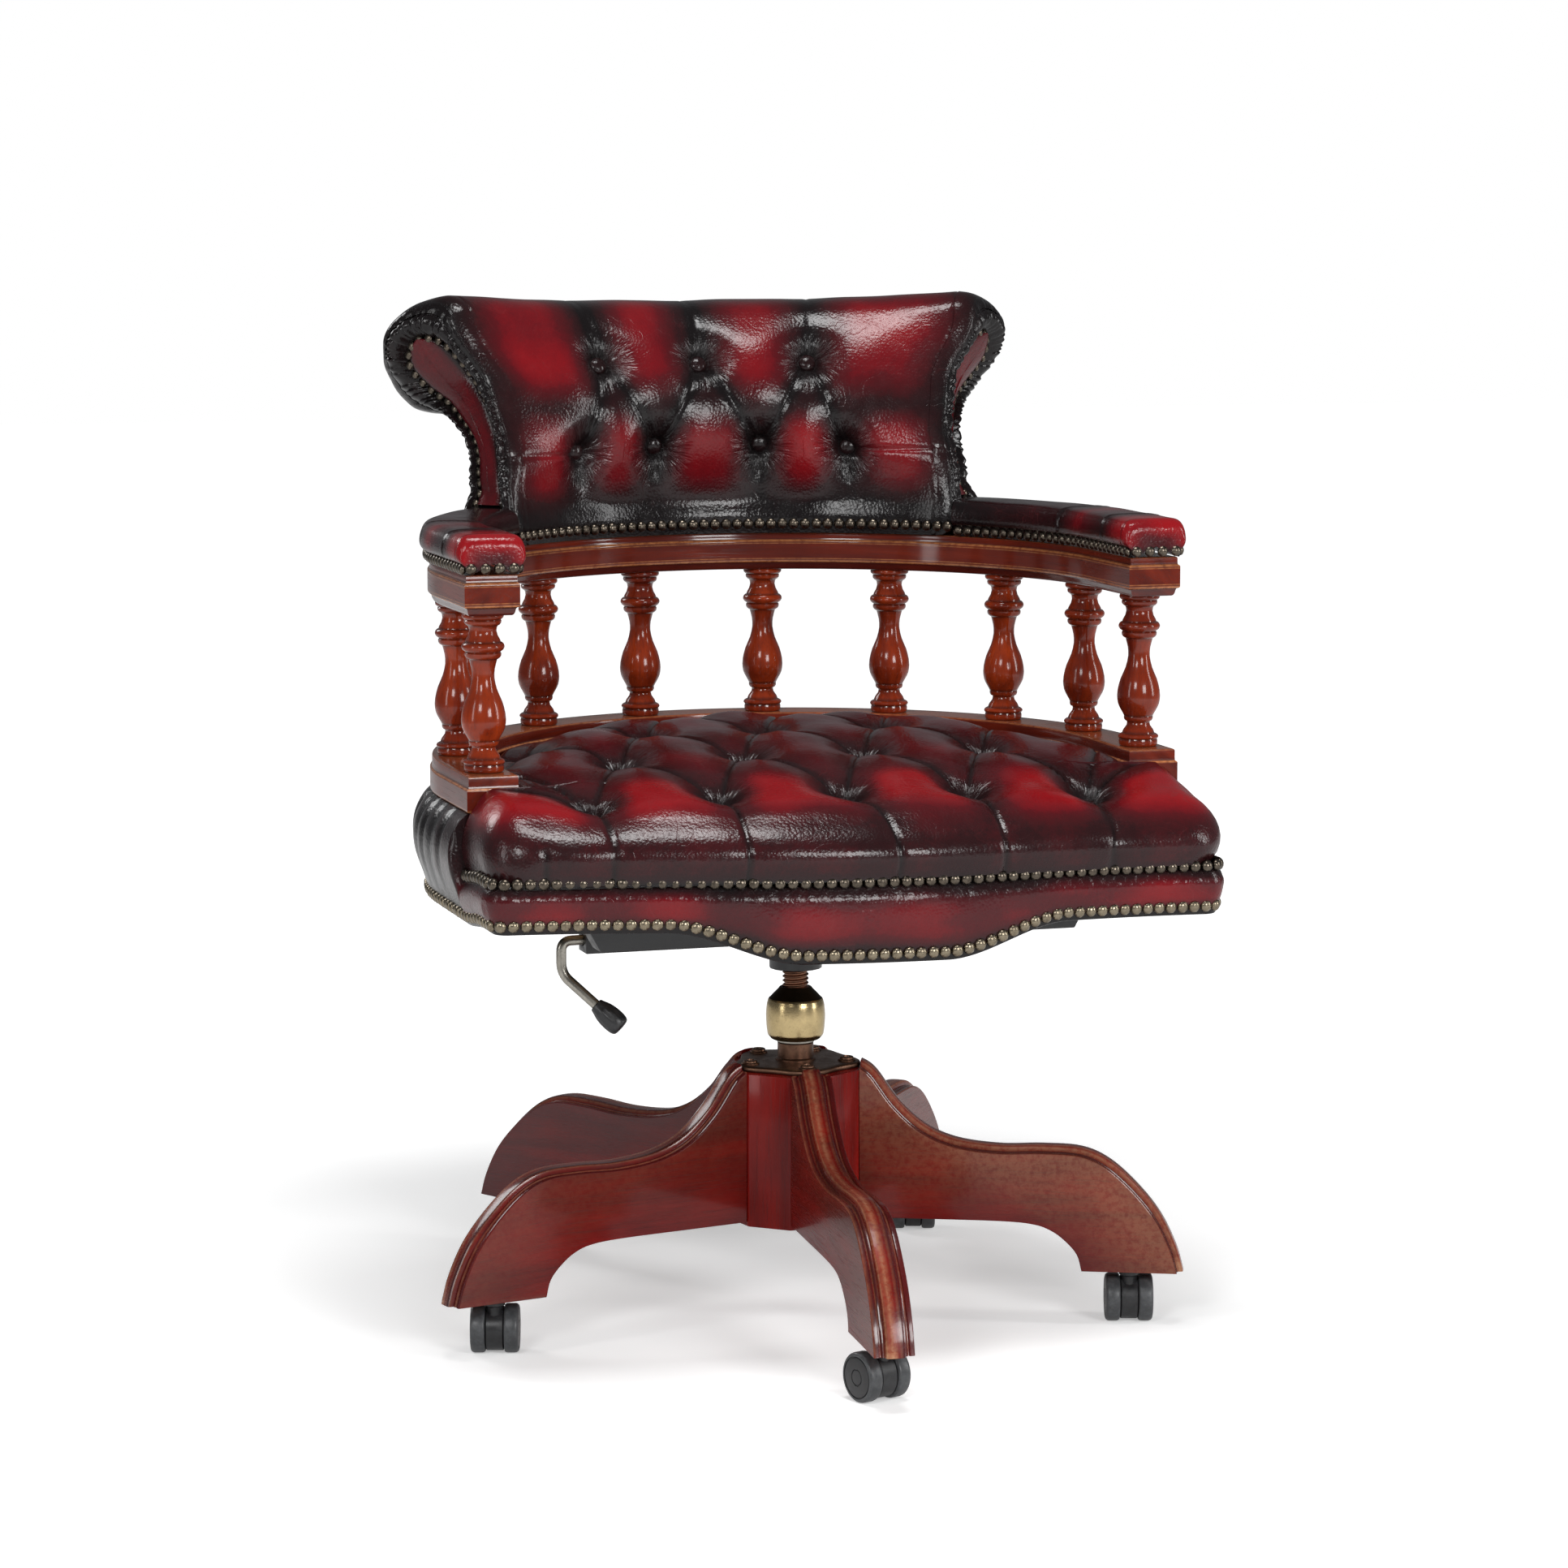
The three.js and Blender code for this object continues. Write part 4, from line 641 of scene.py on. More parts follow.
def makeScrew():
    c = column
    root, crest, pitch, steps = c["rootRadius"], c["screwRadius"], c["pitch"], c["turnSteps"]
    tooth = [(root, 0), (root, 0.16), (crest - 0.25, 0.42), (crest, 0.5), (crest, 0.62), (crest - 0.25, 0.7),
             (root, 0.96), (root, 1)]
    bm = bmesh.new()
    line = [bm.verts.new((radius, 0, c["threadBottomZ"] + share * pitch)) for radius, share in tooth]
    edges = [bm.edges.new(pair) for pair in zip(line, line[1:])]
    bmesh.ops.spin(bm, geom=line + edges, axis=(0, 0, 1), dvec=(0, 0, pitch / steps),
                   angle=2 * math.pi * c["threadTurns"], steps=steps * c["threadTurns"])
    bmesh.ops.remove_doubles(bm, verts=bm.verts, dist=weld["thread"])
    closeHoles(bm)
    lathe(bm, [(0, c["screwBottomZ"]), (root, c["screwBottomZ"]), (root, c["coreTopZ"])], 32)
    addPiece(bm, "heightScrew", "lift", screwMetal, "bronze", ["spindle_screw"], 30)


makeTubes()
makeNut()
makeScrew()


# Tilt mechanism

mechanism = {
    "leverX": -40, "leverY": -25, "leverZ": 331, "leverReach": 208, "elbowDrop": 0.13, "tipIn": 0.21,
    "tipAhead": 0.12, "tipDrop": 0.335, "bend": 9, "rodRadius": 4.2,
    "gripRadius": 9.5, "gripLength": 28, "gripOverlap": 14, "flutes": 10, "fluteDepth": 0.06, "rounding": 0.0008,
}
# Radius and length shares of the grip
gripProfile = [
    (0.0, 0.0), (0.56, 0.0), (0.66, 0.06), (0.74, 0.14), (0.9, 0.3), (1.0, 0.52), (1.0, 0.78), (0.88, 0.94),
    (0.6, 1.0), (0.0, 1.01),
]


def copyOfNode(node):
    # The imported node's own mesh, merged, so that its edges can be rounded
    bm = bmesh.new()
    bm.from_mesh(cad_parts[node].data)
    bmesh.ops.remove_doubles(bm, verts=bm.verts, dist=weld["turned"] * mm)
    bmesh.ops.dissolve_limit(bm, angle_limit=math.radians(2), verts=bm.verts, edges=bm.edges)
    return bm


def bentTube(bm, points, radius, sides=20):
    line = [Vector(p) for p in points]
    places = []
    for i, spot in enumerate(line):
        ahead = (line[min(i + 1, len(line) - 1)] - line[max(i - 1, 0)]).normalized()
        side = Vector((0, 1, 0))
        side = (side - ahead * ahead.dot(side)).normalized()
        up = ahead.cross(side)
        turns = [2 * math.pi * k / sides for k in range(sides + 1)]
        places.append([spot + radius * (math.cos(t) * side + math.sin(t) * up) for t in turns])
    sheetOf(bm, places, wrapColumns=True)
    closeHoles(bm)


def roundedPath(points, radius, steps=8):
    # Straight runs joined by arcs at the bends
    points = [Vector(p) for p in points]
    line = [points[0]]
    for before, bend, after in zip(points, points[1:], points[2:]):
        start = bend + (before - bend).normalized() * radius
        end = bend + (after - bend).normalized() * radius
        for k in range(steps + 1):
            t = k / steps
            line.append(start.lerp(bend, t).lerp(bend.lerp(end, t), t))
    return line + [points[-1]]


def makeLever():
    m = mechanism
    reach, y, z = m["leverReach"], m["leverY"], m["leverZ"]
    elbow = Vector((-reach, y, z - m["elbowDrop"] * reach))
    tip = Vector((-reach + m["tipIn"] * reach, y - m["tipAhead"] * reach, z - m["tipDrop"] * reach))
    aim = (tip - elbow).normalized()
    start = tip - aim * m["gripLength"]
    bm = bmesh.new()
    path = [(m["leverX"], y, z), (-reach, y, z), elbow, start + aim * m["gripOverlap"]]
    bentTube(bm, roundedPath(path, m["bend"]), m["rodRadius"])
    addPiece(bm, "leverRod", "lever", steel, "bright_steel", ["lever_rod"])
    bm = bmesh.new()
    profile = smoothLine(gripProfile, 4)
    lathe(bm, [(max(s, 0) * m["gripRadius"], h * m["gripLength"]) for s, h in profile], 40)
    for vert in bm.verts:
        wave = max(0, math.cos(m["flutes"] * math.atan2(vert.co.y, vert.co.x)))
        flute = 1 - m["fluteDepth"] * wave * smooth(2, 6, vert.co.z) * smooth(22, 17, vert.co.z)
        vert.co.x *= flute
        vert.co.y *= flute
    moved(bm, bm.verts, Matrix.Translation(start) @ turnTo(aim))
    addPiece(bm, "leverGrip", "lever", plastic, "black_plastic", ["lever_grip"])


for node, name, body in (("mechanism_bracket", "mechanismBracket", "lift"), ("seat_plate", "seatPlate", "seat")):
    bm = copyOfNode(node)
    softenEdges(bm, mechanism["rounding"], 35)
    addPiece(bm, name, body, enamel, "black_steel", [node], inFrame=True)
makeLever()
for finish, nodes in ((steel, ("tilt_pin", "tilt_spring")), (board, ("seat_board", "seat_rim", "back_frame")),
                      (lining, ("dust_cover",))):
    for node in nodes:
        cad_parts[node].data.materials.clear()
        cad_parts[node].data.materials.append(finish)
print("column and mechanism made")


# Rails and spindles

rail = {"radius": 280, "forward": 94.5, "lowerWidth": 44, "upperWidth": 45, "arcSteps": 120, "lowerTopZ": 477.4}
# Height, inset, pale edge (wear with painted highlights on the beads), dark (painted shade underneath and in the
# coves)
lowerLevels = [
    (448.4, 3, 0, 0.6), (448.8, 1.2, 0.2, 0.3), (449.5, 0.3, 0.8, 0), (450.3, 0, 0.5, 0), (451.2, 0, 0, 0),
    (465.6, 0, 0, 0), (466.4, 0, 0.4, 0), (467.2, 0.5, 1, 0), (467.7, 1.4, 0.6, 0.2), (468.4, 1.7, 0, 0.4),
    (470.5, 1.8, 0, 0), (475.9, 1.8, 0, 0), (476.9, 2.1, 0.4, 0), (477.4, 2.9, 0.3, 0), (477.4, 8, 0, 0),
]
upperLevels = [
    (604.4, 8, 0, 0.5), (604.4, 5.6, 0, 0.5), (605, 4.4, 0, 0.4), (606.8, 3.4, 0, 0.3), (609.6, 2.8, 0, 0.5),
    (610.6, 2.2, 0, 0.6), (611.2, 0.8, 1, 0), (611.9, 0.1, 1, 0), (612.6, 0, 0.3, 0.3), (613.6, 0, 0, 0.3),
    (614.2, 0, 0.7, 0), (614.8, 0, 0, 0.1), (617, 0, 0, 0), (625.6, 0, 0, 0), (627, 0, 0, 0.1), (627.6, 0, 0.6, 0),
    (628.4, 0, 0, 0.3), (629.2, 0, 0.4, 0.2), (630, 0.5, 1, 0), (630.5, 1.4, 0.6, 0.3), (631.2, 1.7, 0, 0.5),
    (633, 1.8, 0, 0.1), (635.6, 1.8, 0, 0), (636.6, 2.2, 0.3, 0), (637, 3, 0.2, 0), (637, 8, 0, 0),
]


def railOutline(width, inset):
    steps = rail["arcSteps"]
    forward = rail["forward"] - inset
    line = []
    for radius, turn in ((rail["radius"] + width / 2 - inset, 1), (rail["radius"] - width / 2 + inset, -1)):
        angles = [math.pi * k / steps for k in range(steps + 1)]
        arc = [(radius * math.cos(a), radius * math.sin(a)) for a in angles]
        straight = [(radius, y) for y in np.linspace(-forward, 0, 7)[:-1]]
        side = straight + arc + [(-x, y) for x, y in straight[::-1]]
        line += side if turn > 0 else side[::-1]
    return line + [line[0]]


def makeRail(name, node, width, levels):
    bm = bmesh.new()
    sheetOf(bm, [[(x, y, level[0]) for x, y in railOutline(width, level[1])] for level in levels], wrapColumns=True)
    closeHoles(bm)
    worn, shade, run = [], [], []
    for x, y, z in (vert.co for vert in bm.verts):
        nearest = min(levels, key=lambda level: abs(level[0] - z))
        worn.append(nearest[2])
        shade.append(nearest[3])
        bend = math.atan2(max(y, 0), x) * rail["radius"]
        along = bend - min(y, 0) * (1 if x < 0 else -1)
        run.append((along * mm, (math.hypot(x, max(y, 0)) + z) * mm, z * mm))
    addPiece(bm, name, "seat", mahoganyFlat, "mahogany", [node], 35, worn=worn, shade=shade, run=run)


makeRail("lowerRail", "lower_rail", rail["lowerWidth"], lowerLevels)
makeRail("upperRail", "upper_rail", rail["upperWidth"], upperLevels)

# Height over the lower rail and radius of the turned vase
spindleProfile = [
    (0, 15.0), (0.5, 15.6), (1.5, 16), (4.0, 16.1), (5.9, 15.6), (6.4, 16.4), (7.6, 16.9), (8.9, 16.4), (9.9, 15),
    (10.4, 13.6), (13.2, 12.5), (17, 9.8), (19.2, 9.4), (20.4, 9.9), (21, 11.2), (22.4, 12), (24, 12.1),
    (24.8, 12.0), (27, 13.1), (29.3, 14.4), (32, 15.9), (35, 17.1), (38.4, 17.7), (41.6, 17.9), (46.3, 17.5),
    (51, 16.5), (55.8, 15.1), (60.4, 13.1), (65.2, 11.1), (70, 9.8), (74.7, 9.0), (78.6, 9.0), (82.2, 9.4),
    (86.4, 10.4), (89.6, 11.3), (90.2, 12.4), (91.2, 13.7), (92.6, 14.5), (94.6, 14.6), (95.4, 13.8), (95.9, 14.2),
    (97.4, 16.2), (99, 17.1), (100.4, 17.2), (102, 16.6), (103.2, 15.4), (103.7, 14.2), (105.4, 13.7),
    (108.8, 11.8), (112.5, 10.9), (115.2, 11.3), (116.6, 12.2), (117.2, 13.4), (118.6, 14.6), (120.4, 14.9),
    (121.4, 14.3), (121.9, 15.2), (123.2, 16.5), (124.6, 16.8), (125.8, 16.5), (126.4, 16.0),
]
spindleGrooves = [5.9, 10.4, 20, 24.8, 90, 95.6, 103.6, 116.8, 121.6]
spindlePlaces = [0.106, 0.3185, 0.531, 0.726, 0.938]


def onRail(share):
    # The place on the rail's middle line, from 0 at the rear to 1 at the right end
    bend = rail["radius"] * quarter
    run = abs(share) * (bend + rail["forward"])
    if run > bend:
        x, y = rail["radius"], bend - run
    else:
        x, y = spoke(180 - math.degrees(run / rail["radius"]), rail["radius"])
    return math.copysign(1, share) * abs(x), y


def makeSpindles():
    profile = [(0, 0)] + [(r, h) for h, r in spindleProfile] + [(0, spindleProfile[-1][0])]
    for number, share in enumerate([side * s for side in (-1, 1) for s in spindlePlaces], 1):
        bm = bmesh.new()
        lathe(bm, profile)
        # Painted shade darkens the grooves
        shade = [0.75 * math.exp(-min(abs(vert.co.z - z) for z in spindleGrooves) / 0.7) for vert in bm.verts]
        bmesh.ops.translate(bm, verts=bm.verts, vec=(*onRail(share), rail["lowerTopZ"] + fitGap))
        addPiece(bm, f"spindle{number}", "seat", amber, "turned_wood", [f"spindle_{number}"], 30, shade=shade)


makeSpindles()
print("rails and spindles made")


# Leather work


def toFold(x, y, fold):
    # Distance to a fold, which is a straight run between two points
    (ax, ay), (bx, by) = fold
    dx, dy = bx - ax, by - ay
    t = np.clip(((x - ax) * dx + (y - ay) * dy) / (dx * dx + dy * dy), 0, 1)
    return np.hypot(x - ax - t * dx, y - ay - t * dy)


def nearestFold(x, y, folds, blend=2.0):
    total = sum(np.exp(-toFold(x, y, fold) / blend) for fold in folds)
    return np.maximum(-blend * np.log(total + 1e-30), 0)


def buttonField(x, y, spots, reach):
    # How deep each place lies in the nearest button's hollow, its distance, and its offset from that button.
    # Past the gathers the offset grows, so that it doesn't jump where the next button is nearer
    sink = np.zeros_like(x)
    nearest = np.full_like(x, 1e9)
    offset = np.zeros((*x.shape, 3))
    for bx, by in spots:
        away = np.hypot(x - bx, y - by)
        sink = np.maximum(sink, 0.5 * bell(away, reach) + 0.5 * bell(away, reach * 2.7))
        closer = away < nearest
        offset[closer] = np.stack([x - bx, y - by, 80 * smooth(34, 46, away)], axis=-1)[closer] / 10
        nearest = np.minimum(nearest, away)
    return sink, nearest, offset


def cloudsAt(x, y, size, seed):
    flat = [noise.noise(Vector((a / size, b / size, seed))) for a, b in zip(np.ravel(x), np.ravel(y))]
    return np.array(flat).reshape(np.shape(x))


def normalsOf(places):
    normal = np.cross(np.gradient(places, axis=0), np.gradient(places, axis=1))
    return normal / np.maximum(np.linalg.norm(normal, axis=2, keepdims=True), 1e-9)


def nearestIndex(distance):
    return np.unravel_index(np.argmin(distance), distance.shape)


def markVerts(bm, rub, offset=None):
    # Layers set before doubles are merged, so that they stay with their points
    layer = bm.verts.layers.float.new("rub")
    for vert, value in zip(bm.verts, rub):
        vert[layer] = float(value)
    if offset is not None:
        layer = bm.verts.layers.float_vector.new("fold")
        for vert, value in zip(bm.verts, offset):
            vert[layer] = Vector(value)
    bmesh.ops.remove_doubles(bm, verts=bm.verts, dist=weld["sheet"])


def addLeather(bm, name, node, fill, sharp=75, **painted):
    # Leather over padding; fill is not used
    piece = addPiece(bm, name, "seat", leather, "oxblood_leather", [node], sharp, **painted)


nail = {"jitter": 0.12, "small": 0.96, "large": 1.03, "rise": 0.66}


def addNails(name, finish, spots, radius):
    # Domed nails, none quite alike; spots holds the place and the outward direction of each
    bm = bmesh.new()
    for place, out in spots:
        jitter = Vector([random.uniform(-1, 1) for _ in range(3)]) * nail["jitter"]
        size = random.uniform(nail["small"], nail["large"])
        dome = turnTo((Vector(out) + jitter).normalized()) @ Matrix.Diagonal((size, size, nail["rise"] * size, 1))
        matrix = Matrix.Translation(Vector(place) + jitter * 2) @ dome
        bmesh.ops.create_uvsphere(bm, u_segments=9, v_segments=6, radius=radius, matrix=matrix)
    addPiece(bm, name, "seat", finish, "bronze", sharp=80)


# Radius share and height of a covered button, a dome on a narrow foot
buttonProfile = [
    (0, -6), (0.55, -6), (0.62, -2), (0.86, -1.2), (1, 0), (0.97, 1.2), (0.83, 2.6), (0.58, 3.7), (0.3, 4.3),
    (0, 4.5),
]


def addButtons(name, spots, radius):
    bm = bmesh.new()
    for place, out in spots:
        made = lathe(bm, [(r * radius, h) for r, h in buttonProfile], 24)
        moved(bm, made, Matrix.Translation(Vector(place)) @ turnTo(out))
    addPiece(bm, name, "seat", leather, "oxblood_leather", sharp=80, rub=[0.12] * len(bm.verts))


def alongLine(line, pitch, closed=False):
    # Evenly spaced places on a line of (x, y, z, nx, ny, nz)
    line = np.array(line, float)
    run = runOf(line[:, :3])
    wanted = np.linspace(0, run[-1], round(run[-1] / pitch) + 1)
    picked = np.stack([np.interp(wanted, run, values) for values in line.T], axis=1)
    return [(tuple(p[:3]), tuple(p[3:])) for p in (picked[:-1] if closed else picked)]


# Cushion

cushion = {
    "inside": 257.7, "wide": 303, "wideY": -95.6, "narrowY": -94.9, "nailZ": 402, "bottomZ": 400.4, "edgeDrop": 16,
    "front": 188, "bow": 28, "bowReach": 306, "spread": 4, "corner": 34, "edgeShare": 0.14, "flareFrom": 0.66,
    "frontRoll": 46, "sideRoll": 30, "rearRoll": 15, "rollPower": 2.5, "bulge": 10, "rightOut": 12, "leftOut": 4.5,
    "crownZ": 491, "frontZ": 450, "rearDrop": 21, "sideDrop": 8, "rise": 276, "far": 999,
    "pitch": 104, "shift": -3.5, "rowPitch": 110, "rows": 4, "tuftFront": -140, "lastRadius": 236, "lastX": 222,
    "pleatEnds": [3.5, 3.5, 28.5, 10.5, 0.5], "pleatEndY": -250, "cornerX": 262, "cornerY": -97,
    "broad": 3.4, "broadWidth": 17, "narrow": 2.4, "narrowWidth": 1.7, "sink": 22, "buttonReach": 10,
    "buttonRadius": 7.4, "buttonRise": 3.5, "slant": 0.02, "hangFromY": -96, "hangToY": -150,
    "edgeSteps": 18, "acrossSteps": 200, "rollSteps": 26, "frontSteps": 24, "armSteps": 42, "rearSteps": 120,
}


def frontLine(x, reach=cushion["bowReach"]):
    share = np.minimum(np.abs(x) / reach, 1)
    return -cushion["front"] - cushion["bow"] * (1 + np.cos(np.pi * share)) / 2


def hang(x, y):
    # The front of the upholstery hangs a little lower on the right than on the left
    return -(cushion["slant"] * x + 1) * smooth(cushion["hangFromY"], cushion["hangToY"], y)


def tuftPlace(row, k):
    c = cushion
    return c["shift"] + (k + 0.5 * (row % 2)) * c["pitch"], c["tuftFront"] + row * c["rowPitch"]


def isButton(x, y):
    return math.hypot(x, max(y, 0)) < cushion["lastRadius"] and abs(x) < cushion["lastX"]


def seatButtons():
    spots = [tuftPlace(row, k) for row in range(cushion["rows"]) for k in range(-3, 4)]
    return [(x, y) for x, y in spots if isButton(x, y)]


def seatFolds():
    # Diamonds between the buttons, and pleats from the front row to the edge
    c = cushion
    folds = []
    for x, y in seatButtons():
        for side in (-1, 1):
            ahead, behind = [(x + side * c["pitch"] / 2, y + step * c["rowPitch"]) for step in (-1, 1)]
            folds.append(((x, y), behind))
            if y > c["tuftFront"] and not isButton(*ahead):
                folds.append(((x, y), ahead))
    front = [tuftPlace(0, k) for k in range(-2, 3)]
    folds += [((x, y), (x + shift, c["pleatEndY"])) for (x, y), shift in zip(front, c["pleatEnds"])]
    folds += [(front[0], (-c["cornerX"], c["cornerY"])), (front[-1], (c["cornerX"], c["cornerY"]))]
    return folds + [((-c["cornerX"], -190), (-c["cornerX"] - 3, c["pleatEndY"]))]


def crownZ(x, y):
    c = cushion
    ahead = 1 - np.clip((y + c["front"] + c["bow"]) / c["rise"], 0, 1)
    crown = c["crownZ"] - (c["crownZ"] - c["frontZ"]) * ahead ** 2
    away = np.hypot(x, np.maximum(y, 0)) / c["inside"]
    rear = smooth(0.62, 1.04, away) * smooth(-60, 40, y)
    side = smooth(0.35, 1.1, np.abs(x) / c["inside"]) * smooth(60, -60, y)
    return crown - c["rearDrop"] * rear - c["sideDrop"] * side


def rolled(distance, reach):
    # The round of a roll, from 0 at its edge to 1
    power = cushion["rollPower"]
    q = np.clip(distance / reach, 0, 1)
    return (1 - (1 - q) ** power) ** (1 / power)


def cushionPlan():
    # Rows of places from the front to the rear: x, y, whether they lie before the arms, and the distances
    # to the side's edge and to the front's
    c = cushion
    flat = 1 - c["edgeShare"]
    outer = 1 - c["edgeShare"] * (1 - np.sin(np.linspace(0, quarter, c["edgeSteps"])))
    across = np.concatenate([-outer[::-1], np.linspace(-flat, flat, c["acrossSteps"])[1:-1], outer])
    narrow = c["inside"] * across
    flared = narrow + np.sign(across) * (c["wide"] - c["inside"]) * smooth(c["flareFrom"], 1, np.abs(across))
    roll = c["frontRoll"] * (1 - np.cos(np.linspace(0, quarter, c["rollSteps"])))
    front = [(depth, 0) for depth in roll] + [(roll[-1], share) for share in np.linspace(0, 1, c["frontSteps"])[1:]]
    rows = []
    for depth, share in front:
        cut = c["corner"] * (1 - math.sqrt(1 - (1 - min(depth / c["corner"], 1)) ** 2))
        x = flared * (1 - cut / c["wide"] * np.abs(across) ** 6)
        start = frontLine(x) - c["spread"]
        y = mix(start + depth, c["wideY"], share)
        rows.append((x, y, np.ones_like(x), np.max(np.abs(x)) - np.abs(x), y - start))
    straight = [(y, 1) for y in np.linspace(c["narrowY"], 0, c["armSteps"])]
    bend = [(c["inside"] * math.sin(turn), math.cos(turn)) for turn in np.linspace(0, quarter, c["rearSteps"])[1:]]
    for y, scale in straight + bend:
        x = narrow * scale
        edgeAway = np.maximum(c["inside"] - np.hypot(x, max(y, 0)), 0)
        rows.append((x, np.full_like(x, y), np.zeros_like(x), edgeAway, np.full_like(x, c["far"])))
    return [np.array(values) for values in zip(*rows)]


def cushionWearAndShade(x, y, z, away, near, edgeAway, inFront):
    # Red patches in the middle of each tuft show wear, brightest along the front. The folds, the button hollows,
    # the edges by the rails and the lower front roll stay dark as painted shade
    patch = smooth(-4, 30, away) * smooth(12, 46, near) * (0.9 + 0.55 * cloudsAt(x, y, 52, 9.0))
    band = mix(bell(y + 148, 38), 0.24, smooth(-135, -80, y))
    rub = patch * band * smooth(432, 454, z) * np.where(inFront > 0, 1, smooth(3, 34, edgeAway))
    outOfFolds = smooth(0, 3.5, away) * smooth(6, 24, near)
    return np.clip(rub + 0.3 * mix(0.3, 1, outOfFolds) * smooth(392, 410, z), 0, 1)


def makeCushion():
    c = cushion
    x, y, inFront, edgeAway, frontAway = cushionPlan()
    buttons = seatButtons()
    away = nearestFold(x, y, seatFolds())
    sink, near, offset = buttonField(x, y, buttons, c["buttonReach"])
    narrow = c["narrow"] * bell(away, c["narrowWidth"])
    broad = c["broad"] * bell(away, c["broadWidth"]) * mix(1.0, 0.4, smooth(-165, -205, y))
    z = crownZ(x, y) - narrow - broad - c["sink"] * sink + 0.8 * cloudsAt(x, y, 42, 3.0)
    lift = rolled(edgeAway, np.where(inFront > 0, c["sideRoll"], c["rearRoll"])) * rolled(frontAway, c["frontRoll"])
    top = mix(np.where(inFront > 0, c["nailZ"], z - c["edgeDrop"]), z, lift)

    # The roll stands out over the nails, more on the right than on the left, and the pleats draw it in
    over = top - c["nailZ"]
    forward = np.clip(1 - frontAway / 40, 0, 1)
    sideways = np.clip(1 - edgeAway / 34, 0, 1)
    out = c["bulge"] * np.sin(np.pi * np.clip((over - 3) / 42, 0, 1)) * inFront
    out = out * mix(1.0, np.where(x > 0, 1.0, 0.35), sideways)
    sideOut = np.sqrt(np.sin(np.pi * np.clip((over - 2) / 50, 0, 1))) * inFront
    sideOut = sideOut * np.where(x > 0, c["rightOut"], c["leftOut"])
    pleats = (2.4 * bell(away, 2.0) + 1.2 * bell(away, 12)) * inFront * forward
    yMoved = y - (0.7 * out - pleats) * forward
    xMoved = x + np.sign(x) * sideOut * sideways * (1 - 0.5 * forward)

    bm = bmesh.new()
    sheetOf(bm, np.stack([xMoved, yMoved, top + hang(x, y)], axis=2))
    edges = [e for e in bm.edges if e.is_boundary]
    made = bmesh.ops.extrude_edge_only(bm, edges=edges)["geom"]
    for vert in (g for g in made if isinstance(g, bmesh.types.BMVert)):
        vert.co.z = c["bottomZ"]
    closeHoles(bm)
    rub = list(cushionWearAndShade(x, y, top, away, near, edgeAway, inFront).ravel())
    spare = len(bm.verts) - len(rub)
    markVerts(bm, rub + [0.0] * spare, list(offset.reshape(-1, 3)) + [(0, 0, 0)] * spare)
    addLeather(bm, "seatCushion", "seat_cushion", 0.75)
    heights = [top[nearestIndex(np.hypot(x - bx, y - by))] + c["buttonRise"] for bx, by in buttons]
    spots = [((*spot, height), (0, 0, 1)) for spot, height in zip(buttons, heights)]
    addButtons("seatButtons", spots, c["buttonRadius"])


makeCushion()
print("cushion made")


# Leather border round the seat

border = {
    "wall": 290.3, "skin": 12.7, "sideBulge": 14, "frontBulge": 5.5, "lip": 6, "bottomZ": 360.3, "sideTopZ": 448.1,
    "frontTopZ": 400, "setBack": 13, "dip": 1, "apron": 26, "railEnd": -94.5, "cornerSteps": 8, "frontFrom": 200,
    "sideSteps": 64, "rearSteps": 270, "frontSteps": 230, "nailPitch": 10.3, "nailRadius": 5.15,
    "upperNailOut": 2.6, "lowerNailOut": 1.6, "lowerNailRise": 7.5, "ring": 1600, "pleatDepth": 4, "pleatSlant": 5,
    "pleatReach": 24, "pucker": 0.7, "puff": 1.5,
}


def borderStations():
    # Place and outward direction, from the right front corner round the rear to the left and along the front
    w = border["wall"]
    ends = border["setBack"] - cushion["front"]
    corner = np.linspace(0, quarter, border["cornerSteps"])[1:-1]
    rear = np.linspace(0, np.pi, border["rearSteps"])
    stations = [(w, y, 1, 0) for y in np.linspace(ends, 0, border["sideSteps"])[:-1]]
    stations += [(w * math.cos(t), w * math.sin(t), math.cos(t), math.sin(t)) for t in rear]
    stations += [(-w, y, -1, 0) for y in np.linspace(0, ends, border["sideSteps"])[1:]]
    stations += [(-w, ends, -math.cos(t), -math.sin(t)) for t in corner]
    for x in np.linspace(-w, w, border["frontSteps"]):
        slope = (float(frontLine(x + 1, w)) - float(frontLine(x - 1, w))) / 2
        size = math.hypot(slope, 1)
        stations.append((x, float(frontLine(x, w)) + border["setBack"], slope / size, -1 / size))
    stations += [(w, ends, math.cos(t), -math.sin(t)) for t in corner[::-1]]
    return stations + stations[:1]


def borderEdges(k, x, y):
    # Lower and upper edge, whether the side is high there, and whether the station is on the front
    b = border
    front = k > b["frontFrom"] and y < b["setBack"] + 1 - cushion["front"]
    dip = smooth(-0.57, -0.2, -abs(x) / b["wall"]) if front else 0.0
    tall = smooth(b["railEnd"] - 1.5, b["railEnd"] + 1.5, y)
    top = mix(b["frontTopZ"] - b["dip"] * dip, b["sideTopZ"], tall)
    return b["bottomZ"] - b["apron"] * dip, top, tall, front


def borderSection(low, high, bulge):
    # Distance out of the wall and height, from the lower edge round the bulge to the upper
    s = border["skin"]
    foot = [(0, low + border["lip"]), (s * 0.5, low + 1), (s - 2.4, low), (s - 0.6, low + 0.8), (s, low + 3)]
    belly = [(0.42, 0.24), (0.86, 0.44), (1, 0.62), (0.85, 0.78), (0.4, 0.92)]
    belly = [(s + bulge * out, mix(low, high, rise)) for out, rise in belly]
    return smoothLine(foot + belly + [(s - 1, high - 0.6), (s * 0.7, high), (0, high)], 3)


